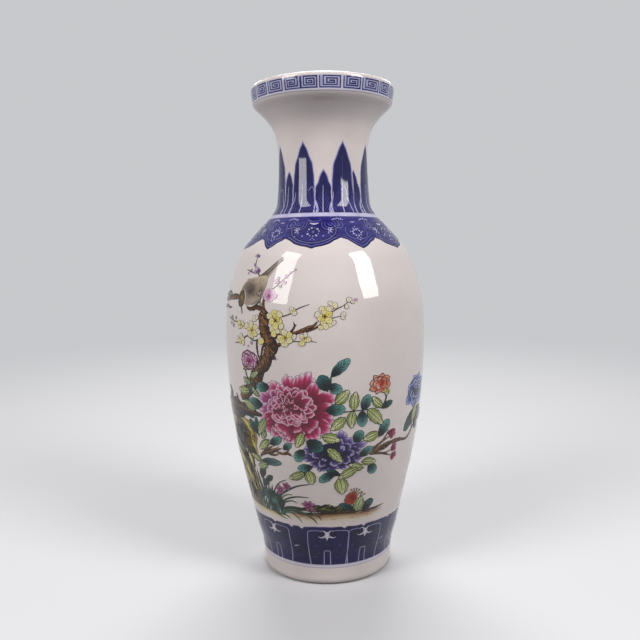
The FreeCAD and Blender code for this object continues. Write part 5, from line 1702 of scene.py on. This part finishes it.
# Large blue flower at the right edge
INDIGO = hues((18, 24, 74), (44, 54, 118), (82, 96, 162), (146, 158, 210), (204, 208, 232))
rose = Coat("blue_rose", ENAMEL, lift=0.10, step=0.002)
rose.patch((62, 115.4), oval(62, 115.6, 10.5, 8.8), INDIGO[0], INDIGO[1])
for rows, first, line, stops, shadow in (
        ((
        ((61, 114), (57.6, 125.4), 7.4, 3), ((62, 114), (66.2, 125.8), 8.6, 3),
        ((63, 114), (72.6, 121.6), 7.4, 3), ((63, 114), (74.0, 114.2), 7.4, 3),
        ((60, 114), (51.4, 119.6), 6.8, 3), ((62, 116), (70.6, 107.6), 7.4, 3),
        ((60, 116), (50.2, 109.2), 7.6, 3), ((61, 116), (60.4, 105.2), 10.4, 4)), 0, INDIGO[2],
        (0, 0.5, 0.74, 0.9, 1.02), None), ((
        ((61, 115), (54.4, 113.6), 5.8, 3), ((61, 114), (58.8, 122.4), 6.0, 3),
        ((62, 114), (65.8, 121.8), 5.6, 2), ((62, 115), (69.6, 115.6), 5.6, 2),
        ((62, 116), (65.8, 108.4), 6.2, 3), ((61, 116), (57.4, 108.4), 6.2, 3),
        ((61, 114.6), (60.0, 119.8), 4.6, 2), ((62, 114.8), (65.0, 118.6), 4.0, 2),
        ((61.6, 115.8), (62.6, 111.0), 5.6, 3), ((61, 115.6), (57.6, 112.6), 4.2, 2),
        ((61.2, 115.4), (61.4, 117.4), 3.0, 2)), 8, INDIGO[4], (0, 0.66, 0.84, 0.95, 1.03), hue(20, 22, 70))):
    petals(rose, rows, 1.1, 5, first=first, grow=1.05, tones=INDIGO, line=line, line_width=0.36, stops=stops,
        shadow=shadow)
rose.finish()

# Bird perched on the trunk's top, seen from behind with its head turned down
bird = Coat("bird", ENAMEL, lift=0.22)


def plumage(A, Z):
    """Shades of the back: dark wing hollow, buff upper edge, grey rump."""
    tone = mix(hue(178, 160, 144), hue(204, 188, 166), np.clip((Z - 178) / 7, 0, 1))
    for rgb, strength, a, z, wide, high, most in (
            (hue(92, 78, 74), 1.1, -45.4, 177.8, 4.6, 4.4, 0.95),
            (hue(128, 112, 100), 0.8, -49.4, 178.6, 2.6, 3.4, 0.8),
            (hue(122, 110, 100), 0.9, -37.0, 175.6, 2.2, 4.6, 0.9),
            (hue(186, 170, 158), 0.8, -42.0, 171.6, 4.0, 1.8, 0.8)):
        near = np.exp(-((A - a) / wide) ** 2 - ((Z - z) / high) ** 2)
        tone = mix(tone, rgb, np.clip(strength * near, 0, most))
    ripple = 0.5 + 0.5 * np.sin(A * 3.1 + np.sin(Z * 1.3) * 2.0) * np.sin(Z * 2.7 + A)
    return mix(tone, hue(96, 84, 78), 0.14 * ripple)


tail = hue(160, 142, 130)
bird.stroke([(-41.0, 180.4), (-38.2, 183.2), (-35.2, 186.2), (-31.6, 190.0), (-28.4, 193.2), (-25.6, 196.0)],
    [7.4, 6.4, 4.6, 3.2, 2.4, 1.6], tail, across=[(-1, hue(190, 178, 164)), (-0.3, tail),
    (0.2, hue(136, 120, 110)), (0.7, hue(108, 94, 88)), (1, hue(140, 126, 116))], ends=(1, 0.8))
bird.stroke([(-36.2, 184.6), (-32.4, 188.6), (-28.6, 192.4), (-25.2, 194.6)], [0.9, 0.8, 0.6, 0.4],
    hue(104, 90, 84), ends=(0.6, 0.4))
bird.stroke([(-34.6, 187.6), (-30.4, 191.6), (-26.8, 194.8)], 0.3, hue(186, 176, 166), ends=(0.4, 0.3))
bird.level(6)
bird.patch((-44.5, 177.2), [(-54.0, 177.0), (-53.4, 179.0), (-51.6, 181.4), (-48.6, 183.2), (-44.6, 184.4),
    (-40.8, 184.8), (-37.4, 185.8), (-34.2, 185.6), (-33.6, 182.8), (-34.4, 179.0), (-35.6, 174.6),
    (-38.0, 171.8), (-41.2, 170.4), (-44.6, 169.4), (-47.8, 169.0), (-50.0, 170.2), (-52.2, 173.0)], plumage,
    n=30)
for i in range(46):
    a, z = rng.uniform(-51, -37), rng.uniform(174, 184)
    bird.level(8 + i % 3)
    bird.stroke([(a, z), (a + 0.9, z + 0.5), (a + 2.0, z + 0.4)], rng.uniform(0.18, 0.34),
        (hue(104, 90, 84), hue(166, 150, 134), hue(126, 112, 102))[i % 3], ends=(0.3, 0.2), step=1.0)
for i in range(26):
    bird.level(12)
    a, z = rng.uniform(-38.6, -35.8), rng.uniform(172.6, 180.0)
    bird.stroke([(a, z), (a + 0.5, z - 0.9)], rng.uniform(0.3, 0.5), (hue(58, 50, 48),
        hue(196, 186, 176))[i % 2], ends=(0.5, 0.3), step=1.0)
bird.level(13)
bird.patch((-52.4, 172.6), [(-52.4 + 3.2 * math.cos(t) + 0.5 * math.sin(t), 172.4 + 4.9 * math.sin(t))
    for t in np.radians(np.arange(0, 360, 20))], hue(150, 122, 62), hue(98, 80, 42))
for i, (points, w, tone) in enumerate((
        ([(-50.6, 177.6), (-49.4, 175.2), (-48.8, 172.2), (-49.2, 169.4)], [0.6, 1.1, 0.9, 0.4],
        hue(206, 196, 182)), ([(-52.4, 177.2), (-50.8, 176.0), (-49.6, 173.6), (-49.5, 170.8)],
        [0.5, 0.8, 0.7, 0.3], hue(50, 40, 28)), ([(-55.2, 173.4), (-54.6, 176.0), (-52.8, 177.4)],
        [0.5, 0.8, 0.4], hue(136, 118, 80)), ([(-54.8, 171.8), (-53.4, 174.6), (-51.4, 175.4)],
        [0.4, 0.7, 0.4], hue(48, 38, 22)), ([(-54.4, 169.8), (-53.0, 171.8), (-51.0, 172.4)], [0.4, 0.8, 0.4],
        hue(56, 44, 22)), ([(-53.8, 168.8), (-52.2, 168.0), (-50.4, 169.2)], [0.7, 1.4, 0.5],
        hue(44, 36, 30)), ([(-52.6, 168.4), (-51.4, 166.4), (-51.0, 163.6)], [1.6, 1.0, 0.3],
        hue(128, 124, 112)), ([(-51.6, 168.0), (-51.0, 166.0), (-50.9, 164.0)], [0.4, 0.4, 0.2],
        hue(70, 66, 58)), ([(-53.6, 174.0), (-52.2, 173.2), (-51.6, 171.4)], [0.4, 0.6, 0.4],
        hue(168, 140, 70)))):
    bird.level(15 + i)
    bird.stroke(points, w, tone, ends=(0.4, 0.3))
bird.level(24)
bird.dot(-52.9, 170.6, 0.62, hue(24, 20, 18), n=4)
bird.level(25)
bird.dot(-53.0, 170.8, 0.2, hue(220, 214, 200), n=3)
for points in ([(-37.6, 172.2), (-38.6, 170.8), (-40.4, 169.6)], [(-39.0, 171.6), (-40.8, 170.4),
        (-43.0, 169.2)]):
    bird.stroke(points, 0.4, hue(150, 140, 130), ends=(0.8, 0.4))
bird.finish()

# ---------------------------------------------------------------- clay pieces
biscuit = clay_material("biscuit", (0.60, 0.55, 0.49), (0.74, 0.70, 0.64), 700.0)
slip = clay_material("dried_slip", (0.58, 0.54, 0.48), (0.70, 0.66, 0.60), 1100.0)
for node in ("foot_section", "lower_body", "upper_body", "neck", "dish_mouth"):
    dress(node, biscuit)
for node in ("foot_slip_seam", "belly_slip_seam", "neck_slip_seam", "mouth_slip_seam"):
    dress(node, slip)


def recess_line(cover):
    """Line of the recess under the floor, with the glaze's surface below it."""
    r, z = RECESS_RADIUS - RECESS_ROUND, RECESS_HEIGHT - RECESS_ROUND
    rise = quarter(r, z, RECESS_ROUND - cover, 90, 0)
    return np.concatenate([[[CENTRE, RECESS_HEIGHT - cover]], rise, [[RECESS_RADIUS - cover, RECESS_LOW]]])


lathe("base_glaze_coat", "inner_glaze", even(recess_line(0), 1.5), even(recess_line(GLAZE), 1.5),
      ["base_glaze"], 120)

# ---------------------------------------------------------------- studio
def seen_directly(new, link):
    """Node giving 1 for rays from the camera, also by way of mirrors and glass."""
    rays = new("LightPath")
    source, output = rays, "Is Camera Ray"
    for name in ("Is Glossy Ray", "Is Transmission Ray"):
        most = operate(new("Math"), "MAXIMUM")
        link(source, output, most, 0)
        link(rays, name, most, 1)
        source, output = most, "Value"
    return source


BACKDROP, GLOW, ROOM_LIGHT = (0.96, 0.97, 1.0, 1), 0.60, 0.06
FADE_START, FADE_END = 0.15, 1.3


def stage_disc(size, n=64):
    """Floor of pale paper that runs into the backdrop, and is dark for the glaze to reflect."""
    mesh = bpy.data.meshes.new("floor")
    t = [2 * math.pi * i / n for i in range(n)]
    mesh.from_pydata([(size * math.cos(w), size * math.sin(w), 0.0) for w in t], [], [list(range(n))])
    item = bpy.data.objects.new("floor", mesh)
    bpy.context.scene.collection.objects.link(item)
    mat, shader, new, link = new_material("floor_paper")
    shader.inputs["Roughness"].default_value = 0.85
    noise = new("TexNoise", Scale=40.0)
    ramp = new("ValToRGB")
    two_tones(ramp, (0.0, (0.62, 0.62, 0.64)), (1.0, (0.66, 0.66, 0.68)))
    dim = new("Mix")
    dim.data_type = "RGBA"
    dim.inputs["A"].default_value = (0.10, 0.10, 0.10, 1)
    eye = seen_directly(new, link)
    place = new("TexCoord")
    far = operate(new("VectorMath"), "LENGTH")
    fade = new("MapRange", From_Min=FADE_START, From_Max=FADE_END)
    fade.interpolation_type = "SMOOTHSTEP"
    both = operate(new("Math"), "MULTIPLY")
    glow = new("Emission", Color=BACKDROP, Strength=GLOW)
    blend = new("MixShader")
    link(noise, "Fac", ramp, "Fac")
    link(ramp, "Color", dim, "B")
    link(eye, "Value", dim, "Factor")
    link(dim, "Result", shader, "Base Color")
    link(place, "Object", far, 0)
    link(far, "Value", fade, "Value")
    link(fade, "Result", both, 0)
    link(eye, "Value", both, 1)
    link(both, "Value", blend, "Fac")
    link(shader, "BSDF", blend, 1)
    link(glow, "Emission", blend, 2)
    link(blend, "Shader", mat.node_tree.nodes["Material Output"], "Surface")
    mesh.materials.append(mat)


stage_disc(12.0)

scene = bpy.context.scene
scene.world = bpy.data.worlds.new("studio")
scene.world.use_nodes = True
new, link = toolkit(scene.world.node_tree)
back = scene.world.node_tree.nodes["Background"]
back.inputs["Color"].default_value = BACKDROP
level = new("MapRange", To_Min=ROOM_LIGHT, To_Max=GLOW)
link(seen_directly(new, link), "Value", level, "Value")
link(level, "Result", back, "Strength")

SHOULDER = Vector((0, 0, 0.17))


def softbox(name, azimuth, elevation, far, wide, high, radiance, colour=(1, 1, 1)):
    """Area lamp facing the shoulder; degrees from the front and up, sizes in metres."""
    lamp = bpy.data.lights.new(name, "AREA")
    lamp.shape = "RECTANGLE"
    lamp.size, lamp.size_y = wide, high
    lamp.energy = radiance * math.pi * wide * high
    lamp.color = colour
    item = bpy.data.objects.new(name, lamp)
    t, e = math.radians(azimuth), math.radians(elevation)
    way = Vector((math.sin(t) * math.cos(e), -math.cos(t) * math.cos(e), math.sin(e)))
    item.location = SHOULDER + far * way
    item.rotation_euler = (item.location - SHOULDER).to_track_quat("Z", "Y").to_euler()
    scene.collection.objects.link(item)


softbox("left_softbox", -53, 31, 1.2, 0.45, 0.91, 7.7, (1.0, 0.985, 0.97))
softbox("right_softbox", 54, 32.6, 1.2, 0.43, 0.80, 9.7, (1.0, 0.99, 0.98))
softbox("back_softbox", 180, 42, 1.6, 1.2, 0.9, 6.6)


# Camera fitted to the photograph: degrees down and round, place in metres
PITCH, ROLL = math.radians(4.57), math.radians(-0.69)
PLACE = (-0.003, -0.4315, 0.1982)


def photo_camera():
    """Camera at the photograph's place, pitched down a little and rolled."""
    lens = bpy.data.cameras.new("camera")
    lens.sensor_width = 36.0
    lens.lens = 38.09
    lens.shift_y = -0.0198
    lens.clip_start = 0.01
    item = bpy.data.objects.new("camera", lens)
    right = Vector((1, 0, 0))
    up = Vector((0, math.sin(PITCH), math.cos(PITCH)))
    side = right * math.cos(ROLL) + up * math.sin(ROLL)
    top = up * math.cos(ROLL) - right * math.sin(ROLL)
    turn = Matrix((side, top, side.cross(top))).transposed()
    item.matrix_world = Matrix.Translation(PLACE) @ turn.to_4x4()
    scene.collection.objects.link(item)
    scene.camera = item


photo_camera()
scene.view_settings.view_transform = "Standard"
